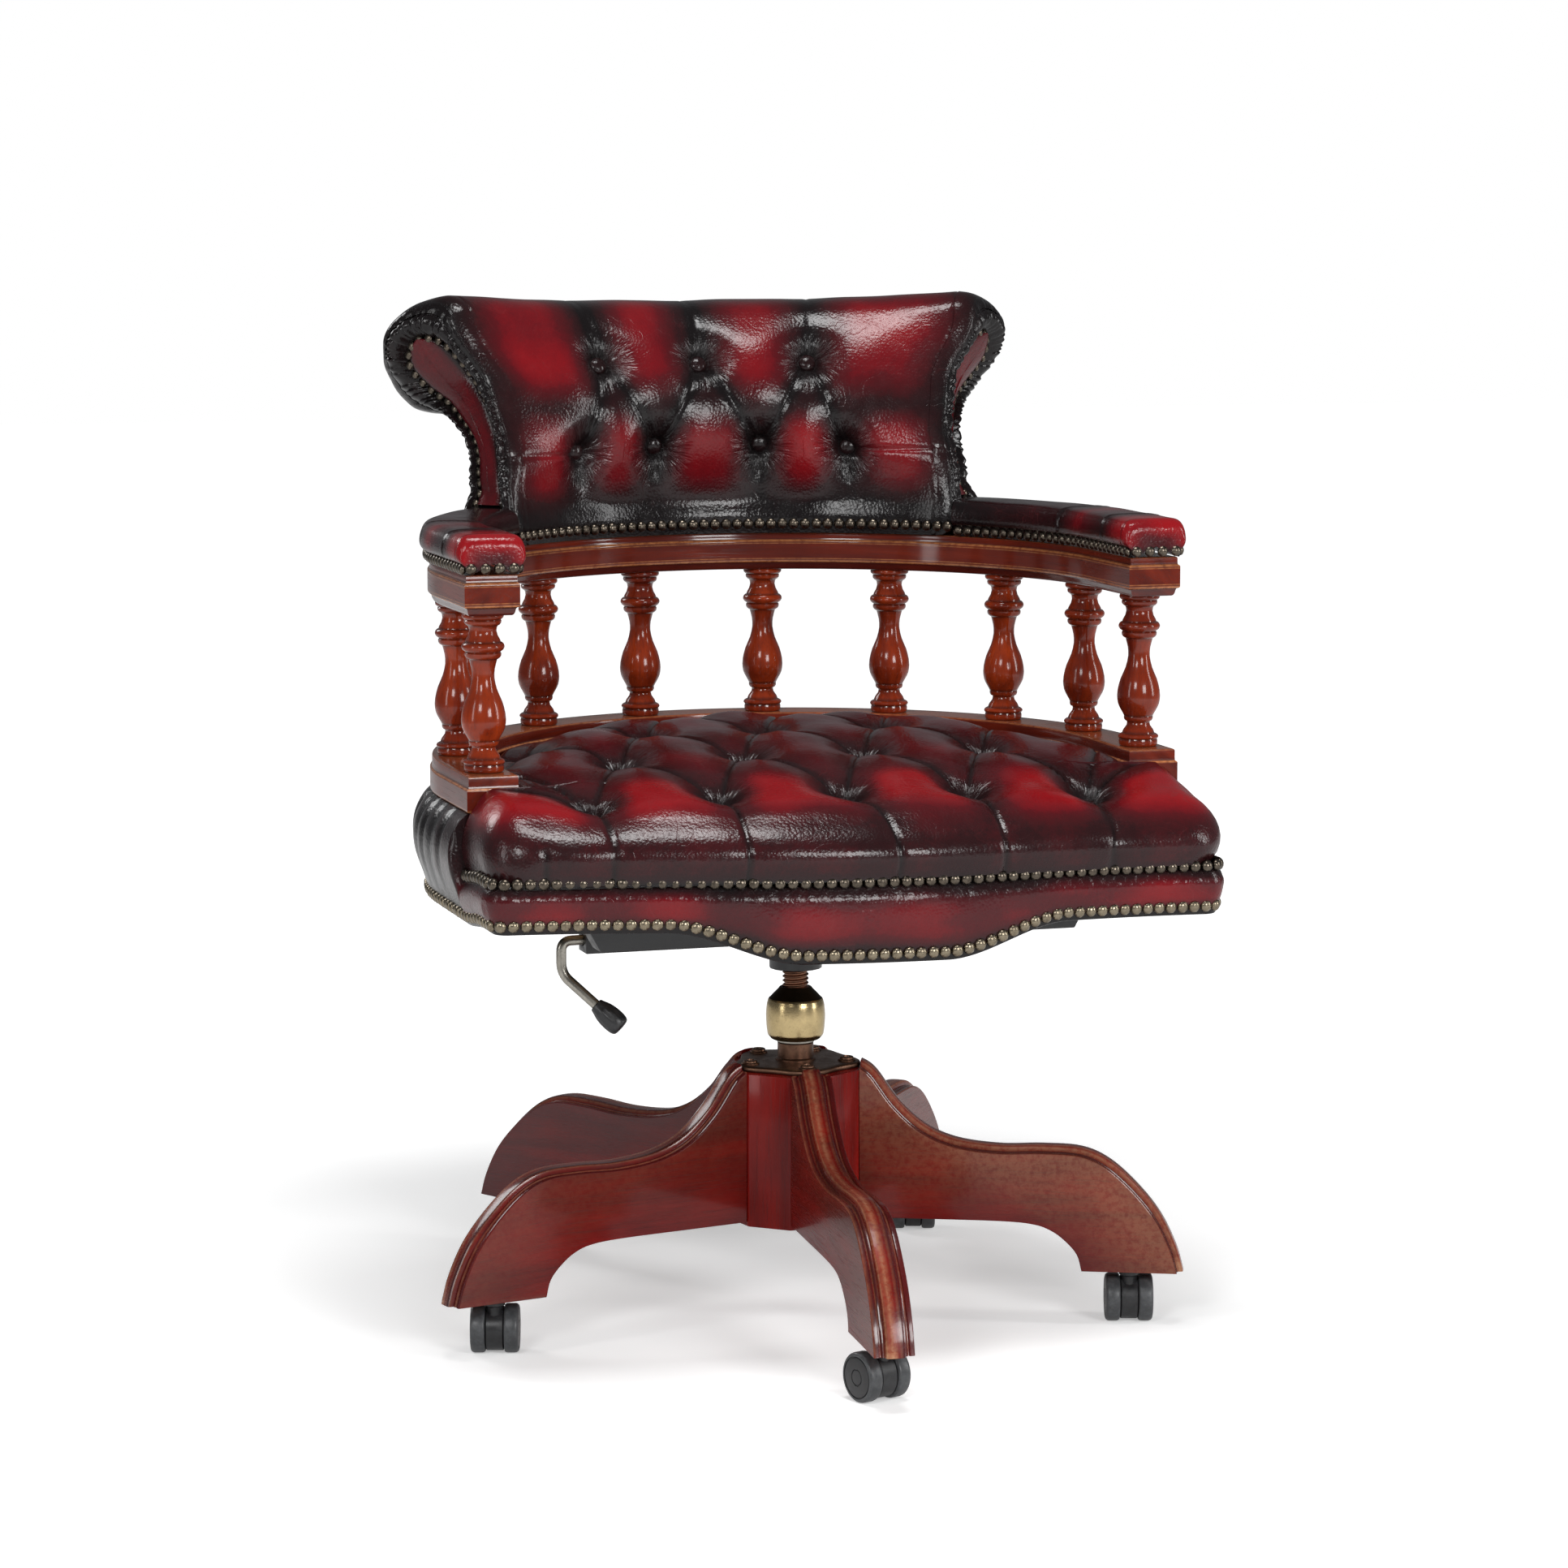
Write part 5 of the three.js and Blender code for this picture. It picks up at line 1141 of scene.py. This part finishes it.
def borderDepth(run, rise, under, tall, front, pleats):
    # The sides have slanting pleats, and the front puckers at each nail and swells under them
    b = border
    depth = 0.0
    if tall > 0.5:
        for at, size, width in pleats:
            if abs(run - at) < b["pleatReach"]:
                slanted = run - at - b["pleatSlant"] * (rise - 0.5)
                depth += b["pleatDepth"] * size * bell(slanted, width) * smooth(0.05, 0.8, rise)
    if front:
        depth += b["pucker"] * (0.5 + 0.5 * math.cos(2 * math.pi * run / b["nailPitch"])) * bell(under - 7, 4.0)
        depth -= b["puff"] * bell(under - 12, 5.0) * (0.6 + 0.6 * noise.noise(Vector((run / 26, 0, 5))))
    return depth


def makeBorder():
    b = border
    s = b["skin"]
    stations = borderStations()
    pleats, spot = [], 0.0
    while spot < b["ring"]:
        spot += random.uniform(24, 60)
        pleats.append((spot, random.uniform(0.4, 1.0), random.uniform(3.5, 8.0)))
    places, rub, upper, lower = [], [], [], []
    for k, (run, (x, y, nx, ny)) in enumerate(zip(runOf([p[:2] for p in stations]), stations)):
        low, high, tall, front = borderEdges(k, x, y)
        bulge = mix(b["frontBulge"] if front else b["sideBulge"] * 0.5, b["sideBulge"], tall)
        row = []
        for out, z in borderSection(low, high, bulge):
            rise = (z - low) / (high - low)
            depth = borderDepth(run, rise, high - z, tall, front, pleats)
            reach = out - depth * (out > s * 0.6)
            row.append((x + nx * reach, y + ny * reach, z + hang(x, y)))
            # Wear shows red in the middle of the band; painted shade darkens its lower edge, the top under the front's
            # nails, and the side pleats
            cloud = noise.noise(Vector((run / 70, z / 40, 2)))
            if front or tall < 0.5:
                value = smooth(0.0, 0.4, rise) * smooth(1.05, 0.6, rise) * (0.6 + 0.4 * cloud)
            else:
                value = 0.2 * smooth(0.1, 0.5, rise) * (0.6 + cloud) - 0.2 * min(depth, 1)
            rub.append(np.clip(value, 0, 1))
        places.append(row + row[:1])
        rub.append(0.0)
        upperNail = (upper, s + b["upperNailOut"], high + 0.6, 0.12)
        lowerNail = (lower, s + b["lowerNailOut"], low + b["lowerNailRise"], -0.1)
        for nails, out, z, lean in (upperNail, lowerNail):
            nails.append((x + nx * out, y + ny * out, z + hang(x, y), nx, ny, lean, tall))
    bm = bmesh.new()
    sheetOf(bm, places)
    markVerts(bm, rub)
    addLeather(bm, "seatBorder", "seat_border", 0.5)

    # The upper row starts at the rail's left end, so the stations of the right side come last
    upper = [p[:6] for p in upper[:-1] if p[6] < 0.1]
    right = [p for p in upper if p[0] > 0 and p[1] > -175 and p[3] > 0.99]
    upper = [p for p in upper if p not in right] + right
    addNails("seatNailsUpper", nailDark, alongLine(upper, b["nailPitch"]), b["nailRadius"])
    lower = alongLine([p[:6] for p in lower[:-1]], b["nailPitch"], True)
    addNails("seatNailsLower", nailBright, lower, b["nailRadius"])


makeBorder()
print("border made")


# Arm pads

armPad = {
    "height": 32, "half": 28.5, "bottomZ": 637.3, "front": -97.5, "spread": 50, "endRound": 11, "endGap": 0.0021,
    "seams": [52, 148], "seamDepth": 1.4, "pinch": 0.9, "wave": 0.5, "endPatch": {1: 0.75, -1: 0.95},
    "nailPitch": 10, "nailRadius": 4.8, "nailRise": 4.8, "nailShare": 0.82, "endSteps": 12, "runSteps": 130,
}
# Across and up, as shares of the half width and the height
padSection = [
    (0.8, 0), (0.815, 0.08), (0.82, 0.2), (0.86, 0.27), (0.95, 0.33), (0.995, 0.42), (1, 0.54), (0.965, 0.71),
    (0.88, 0.865), (0.74, 0.955), (0.5, 0.99), (0, 1),
]
# The rows that close the front end draw in to its middle
capFills = (0.03, 0.3, 0.6, 0.85)


def padStation(run):
    # Place and outward direction on the middle line of the right pad
    straight = -armPad["front"]
    if run < straight:
        return rail["radius"], armPad["front"] + run, 1, 0
    turn = (run - straight) / rail["radius"]
    nx, ny = math.cos(turn), math.sin(turn)
    return rail["radius"] * nx, rail["radius"] * ny, nx, ny


def padRow(run, fill, side, section, total):
    # Places and tone of one row round the pad, wear with painted shade; fill below 1 draws it in to close the end
    a = armPad
    end = a["endRound"]
    x, y, nx, ny = padStation(run)
    cut = end * (1 - math.sqrt(1 - (1 - min(run / end, 1)) ** 2))
    top, wide = a["height"] - cut * 0.95, a["half"] - cut * 0.42
    seam = sum(bell(run - at, 1.3) - 0.35 * bell(abs(run - at) - 4, 2.2) for at in a["seams"])
    edge = bell(run - end * 0.9, 1.0)
    ends = smooth(70, 8, run) * a["endPatch"][side] + 0.4 * bell(run - 110, 30) + 0.2
    clear = (1 - 0.75 * bell(min(abs(run - at) for at in a["seams"]), 9)) * (1 - 0.4 * edge)
    places, rub = [], []
    for s, h in section:
        sideOnly = smooth(0.75, 0.95, abs(s))
        lower = a["seamDepth"] * seam * smooth(0.15, 0.6, h)
        wave = a["wave"] * noise.noise(Vector((run / 40, s * 0.8, side * 4 + 8)))
        offset = s * (wide - a["pinch"] * edge * sideOnly - lower * sideOnly) * fill
        z = a["bottomZ"] + mix(0.4, h, fill) * (top + wave) - lower * (1 - sideOnly) * (h > 0.5)
        places.append((side * (x + nx * offset), y + ny * offset, z))
        # Wear is brightest at the front end; painted shade darkens the bottom, the seams, the round of the end and the
        # part towards the back
        patch = ends * (0.85 + 0.4 * noise.noise(Vector((run / 30, s, side * 3))))
        value = patch * smooth(0.05, 0.6, h) * clear * smooth(total, total - 90, run) + 0.08
        rub.append(mix(0.38, np.clip(value, 0, 1) * smooth(0.0, 0.22, h), fill ** 2))
    return places, rub


def makeArmPad(side, name, node):
    a = armPad
    half = smoothLine(padSection, 4)
    section = half + [(-s, h) for s, h in half[-2::-1]]
    total = -a["front"] + rail["radius"] * (math.radians(90 - a["spread"]) - a["endGap"])
    end = a["endRound"]
    rounded = end * (1 - np.cos(np.linspace(0, quarter, a["endSteps"])))
    runs = [*rounded, *np.linspace(end, total, a["runSteps"])[1:]]
    stations = [(0.0, fill) for fill in capFills] + [(run, 1.0) for run in runs]
    rows = [padRow(run, fill, side, section, total) for run, fill in stations]
    bm = bmesh.new()
    sheetOf(bm, [places for places, rub in rows])
    closeHoles(bm)
    addLeather(bm, name, node, 0.7, 60, rub=[value for places, rub in rows for value in rub])
    z = a["bottomZ"] + a["nailRise"]
    reach = a["half"] * a["nailShare"]
    spots = []
    for sign in (1, -1):
        line = []
        for x, y, nx, ny in map(padStation, np.linspace(7, total - 4, 90)):
            line.append((side * (x + sign * nx * reach), y + sign * ny * reach, z, side * sign * nx, sign * ny, 0))
        spots += alongLine(line, a["nailPitch"])
    across = [rail["radius"] + share * (reach - 6) for share in np.linspace(-1, 1, 12)]
    front = [(side * x, a["front"] + 0.8, z, 0, -1, 0) for x in across]
    addNails(f"{name}Nails", nailDark, spots + alongLine(front, a["nailPitch"]), a["nailRadius"])


makeArmPad(1, "armPadRight", "arm_pad_right")
makeArmPad(-1, "armPadLeft", "arm_pad_left")
print("arm pads made")


# Back

back = {
    "radius": 254.5, "spread": 50, "lean": 29, "waist": 12, "topFlare": 22, "rollFlare": 22, "endPower": 2.5,
    "depth": 160, "height": 202, "bottomZ": 637.3, "leanFromZ": 653.3, "leanToZ": 685.3, "sections": 168,
    "spans": 10, "endRound": 16, "rimShare": 0.42, "rimSink": 8, "puff": 5, "ripples": 58, "ripple": 1.1,
    "sink": 19, "reach": 9, "broad": 2.0, "broadWidth": 17, "narrow": 1.9, "narrowWidth": 1.6, "seam": 1.8,
    "buttonRadius": 8, "buttonOut": 5.5, "lowerRise": 0.365, "upperRise": 0.765,
    "footIn": 4.4, "footOut": 53.8, "footShare": 0.985, "footInset": 2.6, "footPitch": 10, "footNail": 4.9,
    "nailRise": 8.5, "nailOut": 1.6, "capSteps": 8, "roundSteps": 10,
    "facePitch": 9.6, "faceNail": 4.6, "faceScale": 0.95, "faceWearAndShade": 0.55,
}
# Depth and height shares of the section in the middle, of the one at the ends, and of the line of nails
# round the facing on each end, matched point to point
backMiddle = [
    (-0.02, 0), (-0.035, 0.07), (-0.02, 0.15), (-0.05, 0.235), (-0.1, 0.33), (-0.125, 0.425), (-0.125, 0.525),
    (-0.11, 0.62), (-0.075, 0.715), (-0.005, 0.82), (0.09, 0.905), (0.2, 0.975), (0.34, 1), (0.5, 0.99),
    (0.66, 0.935), (0.79, 0.845), (0.875, 0.735), (0.865, 0.635), (0.775, 0.56), (0.625, 0.532),
    (0.48, 0.527), (0.375, 0.49), (0.312, 0.42), (0.294, 0.335), (0.31, 0.255), (0.335, 0.17), (0.34, 0.07),
    (0.335, 0),
]
backEnd = [
    (0, 0), (-0.006, 0.07), (0.0125, 0.15), (0.0375, 0.235), (0.075, 0.327), (0.15, 0.426), (0.2125, 0.525),
    (0.2625, 0.619), (0.319, 0.723), (0.356, 0.822), (0.375, 0.916), (0.4125, 0.995), (0.5, 1.042),
    (0.594, 1.032), (0.6875, 0.99), (0.8125, 0.891), (0.9375, 0.777), (1.0375, 0.678), (1.069, 0.604),
    (1, 0.5495), (0.8625, 0.53), (0.706, 0.527), (0.575, 0.475), (0.4625, 0.401), (0.3875, 0.322),
    (0.3625, 0.238), (0.35, 0.1), (0.335, 0),
]
facingLine = [
    (0.106, 0.168), (0.11, 0.188), (0.119, 0.213), (0.138, 0.257), (0.175, 0.327), (0.225, 0.391), (0.287, 0.49),
    (0.344, 0.579), (0.412, 0.651), (0.463, 0.713), (0.494, 0.782), (0.519, 0.827), (0.556, 0.85), (0.606, 0.856),
    (0.653, 0.844), (0.706, 0.807), (0.747, 0.752), (0.765, 0.698), (0.756, 0.653), (0.719, 0.619),
    (0.656, 0.584), (0.594, 0.54), (0.512, 0.483), (0.438, 0.426), (0.375, 0.361), (0.334, 0.287),
    (0.308, 0.225), (0.302, 0.168),
]
# The buttons' places along the back, as shares of its half length
lowerButtons = [-0.582, -0.227, 0.201, 0.556]
upperButtons = [-0.452, -0.026, 0.408]
# Scale of the facing's outline, and how far out of the end it stands
facingLevels = [
    (0.99, -10.0), (1.0, -7.4), (0.985, -5.2), (0.94, -3.6), (0.86, -2.6), (0.7, -1.6), (0.5, -1.0), (0.25, -0.6),
    (0.02, -0.5),
]


def backPlace(share, depth, z, out=0.0):
    b = back
    angle = np.radians(share * b["spread"])
    lean = mix(share * b["spread"], share * b["lean"], smooth(b["leanFromZ"], b["leanToZ"], z))
    lean = np.radians(lean)
    rise = (z - b["bottomZ"]) / b["height"]
    flare = b["topFlare"] * smooth(0.66, 0.93, rise) - b["waist"] * smooth(0.23, 0.49, rise)
    flare = flare + b["rollFlare"] * smooth(0.44, 0.84, depth / b["depth"]) * smooth(0.55, 0.76, rise)
    side = np.sign(share)
    x = b["radius"] * np.sin(angle) + depth * np.sin(lean) + side * np.abs(share) ** b["endPower"] * flare
    y = b["radius"] * np.cos(angle) + depth * np.cos(lean)
    return np.stack([x + side * out * np.cos(lean), y - out * np.sin(np.abs(lean)), z + 0 * x], axis=-1)


def backRows():
    # From one end to the other: share of the half length, draw in towards the facing, push out of the end.
    # Draws above 1 shrink the facing's outline to its spine and close the end
    b = back
    rim = b["rimShare"]
    roundShare = b["endRound"] / (b["radius"] * math.radians(b["spread"]))
    end = [(1.0, draw, -b["rimSink"]) for draw in (1.98, 1.6, 1.3, 1.1)]
    for k in (step / b["capSteps"] for step in range(b["capSteps"], 0, -1)):
        end.append((1.0, mix(rim, 1.0, k), b["puff"] * math.sin(math.pi * k) - b["rimSink"] * k ** 3))
    for turn in np.linspace(0, quarter, b["roundSteps"]):
        end.append((1 - roundShare * (1 - math.sin(turn)), rim * (1 - math.cos(turn)), 0.0))
    between = [(s, 0.0, 0.0) for s in np.linspace(-(1 - roundShare), 1 - roundShare, b["sections"])[1:-1]]
    return np.array([(-s, draw, push) for s, draw, push in end] + between + end[::-1])


def backTufts(run, rise, rises, face, onPad):
    # The buttons' places, the distance to the folds, the offset from the buttons, and the depth of it all.
    # face holds the height shares of the front's points, up to the crest
    b = back
    halfRun = b["radius"] * math.radians(b["spread"])
    lowLift, highLift = [float(np.interp(b[key], face, rises[:len(face)])) for key in ("lowerRise", "upperRise")]
    low = [(s * halfRun, lowLift) for s in lowerButtons]
    high = [(s * halfRun, highLift) for s in upperButtons]
    folds = [(spot, end) for i, spot in enumerate(high) for end in (low[i], low[i + 1])]
    folds += [(spot, (spot[0] * 1.04, spot[1] + 190)) for spot in high]
    folds += [(spot, (spot[0], spot[1] - 24)) for spot in low]
    seams = [(spot, (side * halfRun * 1.1, spot[1] + 2)) for side, spot in ((-1, low[0]), (1, low[-1]))]
    away = nearestFold(run, rise, folds)
    sink, _, offset = buttonField(run, rise, low + high, b["reach"])
    onFace = smooth(rises[-1] * 0.56, rises[-1] * 0.44, rise) * onPad
    above = smooth(highLift + 12, highLift + 60, rise)
    narrow = b["narrow"] * bell(away, b["narrowWidth"]) * mix(1.0, 0.35, above)
    broad = b["broad"] * bell(away, b["broadWidth"]) * mix(1.0, 0.3, above)
    deep = (narrow + broad) * onFace + b["sink"] * sink + b["seam"] * bell(nearestFold(run, rise, seams), 1.9)
    return low, high, away, offset, deep * onPad + 0.7 * cloudsAt(run, rise, 40, 6.0)


def backWearAndShade(run, rise, rises, low, high, away, height, shares, crestRise):
    # Red bands of wear stand between the columns of the buttons. The columns, the folds and the foot stay dark as
    # painted shade, and the red fades towards the ends and over the crest
    fromHigh, fromLow = [np.min([np.abs(run - spot[0]) for spot in spots], axis=0) for spots in (high, low)]
    upperBand = 0.6 * smooth(2, 46, fromHigh) * smooth(104, 150, height)
    lowerBand = 0.62 * smooth(2, 38, fromLow) * smooth(20, 60, height) * smooth(120, 84, height)
    rub = np.where(rise < crestRise, np.maximum(upperBand, lowerBand), upperBand)
    rub = rub * smooth(0, 7, away) * (0.96 + 0.4 * cloudsAt(run, rise, 60, 1.0))
    rub = rub * smooth(1.0, 0.78, np.abs(shares)) * mix(1.0, 0.2, smooth(rises[-1] * 0.36, rises[-1] * 0.50, rise))
    return np.clip(rub + 0.16 * smooth(2, 14, away) * smooth(14, 60, rise), 0, 1)


def makeBack(middle, ends, facing, spine):
    b = back
    size = np.array([b["depth"], b["height"]])
    rises = runOf(middle * size)
    along = runOf(ends * size)
    along = along / along[-1]
    rows = backRows()
    share = rows[:, 0]
    draw, push = rows[:, 1:2], rows[:, 2:3]
    section = mix(middle[None], ends[None], (np.abs(share) ** b["endPower"])[:, None, None])
    section = mix(section, facing[None], np.minimum(draw, 1)[:, :, None])
    section = mix(section, spine[None], np.maximum(draw - 1, 0)[:, :, None])
    height = section[:, :, 1] * b["height"]
    shares = np.repeat(share[:, None], len(middle), axis=1)
    # Gathers run from the round of each end in to the facing
    wave = 2 * np.pi * b["ripples"] * along + 2.2 * np.sin(18 * np.pi * along) + 1.5 * np.sin(46 * np.pi * along)
    strength = smooth(0.15, 0.6, draw) * smooth(1.1, 0.8, draw)
    clear = smooth(0.03, 0.1, along) * smooth(1.0, 0.93, along)
    gathers = b["ripple"] * np.cos(wave)[None, :] * strength * clear[None, :]
    places = backPlace(shares, section[:, :, 0] * b["depth"], b["bottomZ"] + height, push + gathers)

    run = shares * b["radius"] * math.radians(b["spread"])
    rise = np.repeat(rises[None, :], len(rows), axis=0)
    crest = int(np.argmax(middle[:, 1]))
    onPad = 1 - np.clip(draw / 0.3, 0, 1)
    low, high, away, offset, deep = backTufts(run, rise, rises, middle[:crest, 1], onPad)
    normal = normalsOf(places)
    normal = normal * -np.sign(normal[len(rows) // 2, len(middle) // 6, 1])
    places = places - normal * (deep * (np.abs(push) < 0.01) * smooth(0, 12, rise))[:, :, None]
    places[:, :, 2] = np.maximum(places[:, :, 2], b["bottomZ"])
    rub = backWearAndShade(run, rise, rises, low, high, away, height, shares, rises[crest])
    # Where the end draws in to the sunk facing it is darkened as painted shade
    rub = rub * (1 - 0.85 * np.clip(draw / 0.3, 0, 1))
    offset = offset * (1 - np.clip(draw / 0.2, 0, 1))[:, :, None]
    bm = bmesh.new()
    wrapped = [np.concatenate([values, values[:, :1]], axis=1) for values in (places, rub, offset)]
    sheetOf(bm, wrapped[0])
    markVerts(bm, wrapped[1].ravel(), wrapped[2].reshape(-1, 3))
    closeHoles(bm)
    addLeather(bm, "backPad", "back_pad", 0.8)

    picked = [nearestIndex((run - x) ** 2 + (rise - lift) ** 2) for x, lift in low + high]
    spots = [(tuple(places[index] + normal[index] * b["buttonOut"]), tuple(normal[index])) for index in picked]
    addButtons("backButtons", spots, b["buttonRadius"])


def makeFootNails():
    # Nails along the foot of the pad, inside and outside the rail
    b = back
    nailZ = np.array(b["bottomZ"] + b["nailRise"])
    nails = []
    for sign, foot in ((-1, -b["footIn"] - b["nailOut"]), (1, b["footOut"] + b["nailOut"])):
        line = []
        for s in np.linspace(-b["footShare"], b["footShare"], 120):
            lean = math.radians(s * b["spread"])
            inset = b["footInset"] * abs(s) ** b["endPower"] if sign < 0 else 0.0
            spot = backPlace(np.array(s), np.array(foot + inset), nailZ)
            line.append((*spot, sign * math.sin(lean), sign * math.cos(lean), 0))
        nails += alongLine(line, b["footPitch"])
    addNails("backNails", nailDark, nails, b["footNail"])


def makeFacing(side, name, node, facing, spine):
    b = back

    def onEnd(line, push):
        height = b["bottomZ"] + line[:, 1] * b["height"]
        return backPlace(np.full(len(line), float(side)), line[:, 0] * b["depth"], height, np.full(len(line), push))

    stack = np.array([onEnd(spine + (facing - spine) * scale * b["faceScale"], push) for scale, push in facingLevels])
    bm = bmesh.new()
    sheetOf(bm, np.concatenate([stack, stack[:, :1]], axis=1))
    # Red in the middle, darkened out to the sunk rim as painted shade
    markVerts(bm, np.repeat([b["faceWearAndShade"] * smooth(1.0, 0.6, scale) for scale, push in facingLevels], len(facing) + 1))
    closeHoles(bm)
    addLeather(bm, name, node, 0.5)
    turn = math.radians(b["lean"])
    line = [(*spot, side * math.cos(turn), -math.sin(turn), 0) for spot in onEnd(facing, -b["faceNail"])]
    addNails(f"{name}Nails", nailDark, alongLine(line, b["facePitch"]), b["faceNail"])


middle, ends, facing = [np.array(smoothLine(table, back["spans"])) for table in (backMiddle, backEnd, facingLine)]
spine = (facing + facing[::-1]) / 2
makeBack(middle, ends, facing, spine)
makeFootNails()
makeFacing(1, "backFacingRight", "back_facing_right", facing, spine)
makeFacing(-1, "backFacingLeft", "back_facing_left", facing, spine)
print("back made")


# Floor, light and camera

stage = {
    "floorSize": 14, "floorTone": colour(0.93, 0.93, 0.93), "floorShade": colour(0.9, 0.9, 0.9), "fadeFrom": 0.6,
    "fadeTo": 2.2, "glow": 0.36, "mirrored": 0.25, "worldMirrored": 0.12, "worldTone": colour(0.75, 0.77, 0.8),
    "worldLight": 0.1, "white": colour(1, 1, 1),
}


def seenShare(n, mirrored):
    # 1 to the camera, less in reflections, and nothing to the light on the chair
    path = n.add("ShaderNodeLightPath").outputs
    mirror = n.maths("MAXIMUM", path["Is Glossy Ray"], path["Is Transmission Ray"])
    return n.maths("MAXIMUM", path["Is Camera Ray"], n.maths("MULTIPLY", mirror, mirrored))


def makeStage():
    bm = bmesh.new()
    bmesh.ops.create_grid(bm, x_segments=8, y_segments=8, size=stage["floorSize"])
    mesh = bpy.data.meshes.new("floor")
    bm.to_mesh(mesh)
    bm.free()
    floor = bpy.data.objects.new("floor", mesh)
    scene.collection.objects.link(floor)
    finish, n, shader, place = newFinish("floorPaint")
    shade = n.spread(n.noise(place, 3, 2), 0.3, 0.7, 0.0, 0.03)
    n.join(n.blend(shade, stage["floorTone"], stage["floorShade"]), shader.inputs["Base Color"])
    # The floor glows a little for the camera alone, and wholly far from the chair, so it fades to white
    far = n.vector("LENGTH", place).outputs["Value"]
    glow = n.spread(far, stage["fadeFrom"], stage["fadeTo"], stage["glow"], 1.0)
    n.join(n.maths("MULTIPLY", glow, seenShare(n, stage["mirrored"])), shader.inputs["Emission Strength"])
    shader.inputs["Emission Color"].default_value = stage["white"]
    shader.inputs["Roughness"].default_value = 0.7
    shader.inputs["Specular IOR Level"].default_value = 0.1
    mesh.materials.append(finish)

    world = bpy.data.worlds.new("softRoom")
    world.use_nodes = True
    scene.world = world
    n = Nodes(world.node_tree)
    room = world.node_tree.nodes["Background"]
    seen = seenShare(n, stage["worldMirrored"])
    n.join(n.blend(seen, stage["worldTone"], stage["white"]), room.inputs["Color"])
    n.join(n.spread(seen, 0, 1, stage["worldLight"], 1.0), room.inputs["Strength"])


# Position, aim, size and strength of each soft box
lamps = {
    "keyBox": ((0.8, -3.0, 1.3), (0, 0, 0.5), (0.9, 0.8), 42),
    "fillBox": ((-1.9, -2.6, 1.9), (0, 0, 0.5), (0.8, 0.7), 32),
    "leftBox": ((-2.7, -0.9, 1.1), (0, 0, 0.45), (0.35, 1.6), 13),
    "rightBox": ((2.7, -1.4, 1.2), (0, 0, 0.45), (0.35, 1.6), 27),
    "topBox": ((-0.1, -0.5, 2.8), (0, 0, 0.4), (1.0, 0.6), 36),
    "rimBox": ((-1.6, 2.4, 1.9), (0, 0, 0.5), (1.0, 1.0), 20),
}


def makeLamps():
    for name, (spot, aim, size, power) in lamps.items():
        light = bpy.data.lights.new(name, "AREA")
        light.shape = "RECTANGLE"
        light.size, light.size_y = size
        light.energy = power
        lamp = bpy.data.objects.new(name, light)
        lamp.location = spot
        lamp.rotation_euler = (Vector(aim) - Vector(spot)).to_track_quat("-Z", "Y").to_euler()
        scene.collection.objects.link(lamp)


lensLength = 104.3
cameraSpot = (-1.13078, -3.58711, 0.94685)
cameraTurn = (82.39, 0, -17.49)


def makeCamera():
    lens = bpy.data.cameras.new("camera")
    lens.sensor_width = 36
    lens.lens = lensLength
    camera = bpy.data.objects.new("camera", lens)
    camera.location = cameraSpot
    camera.rotation_euler = [math.radians(turn) for turn in cameraTurn]
    scene.collection.objects.link(camera)
    scene.camera = camera


makeStage()
makeLamps()
makeCamera()
scene.view_settings.view_transform = "Standard"
print("stage made")
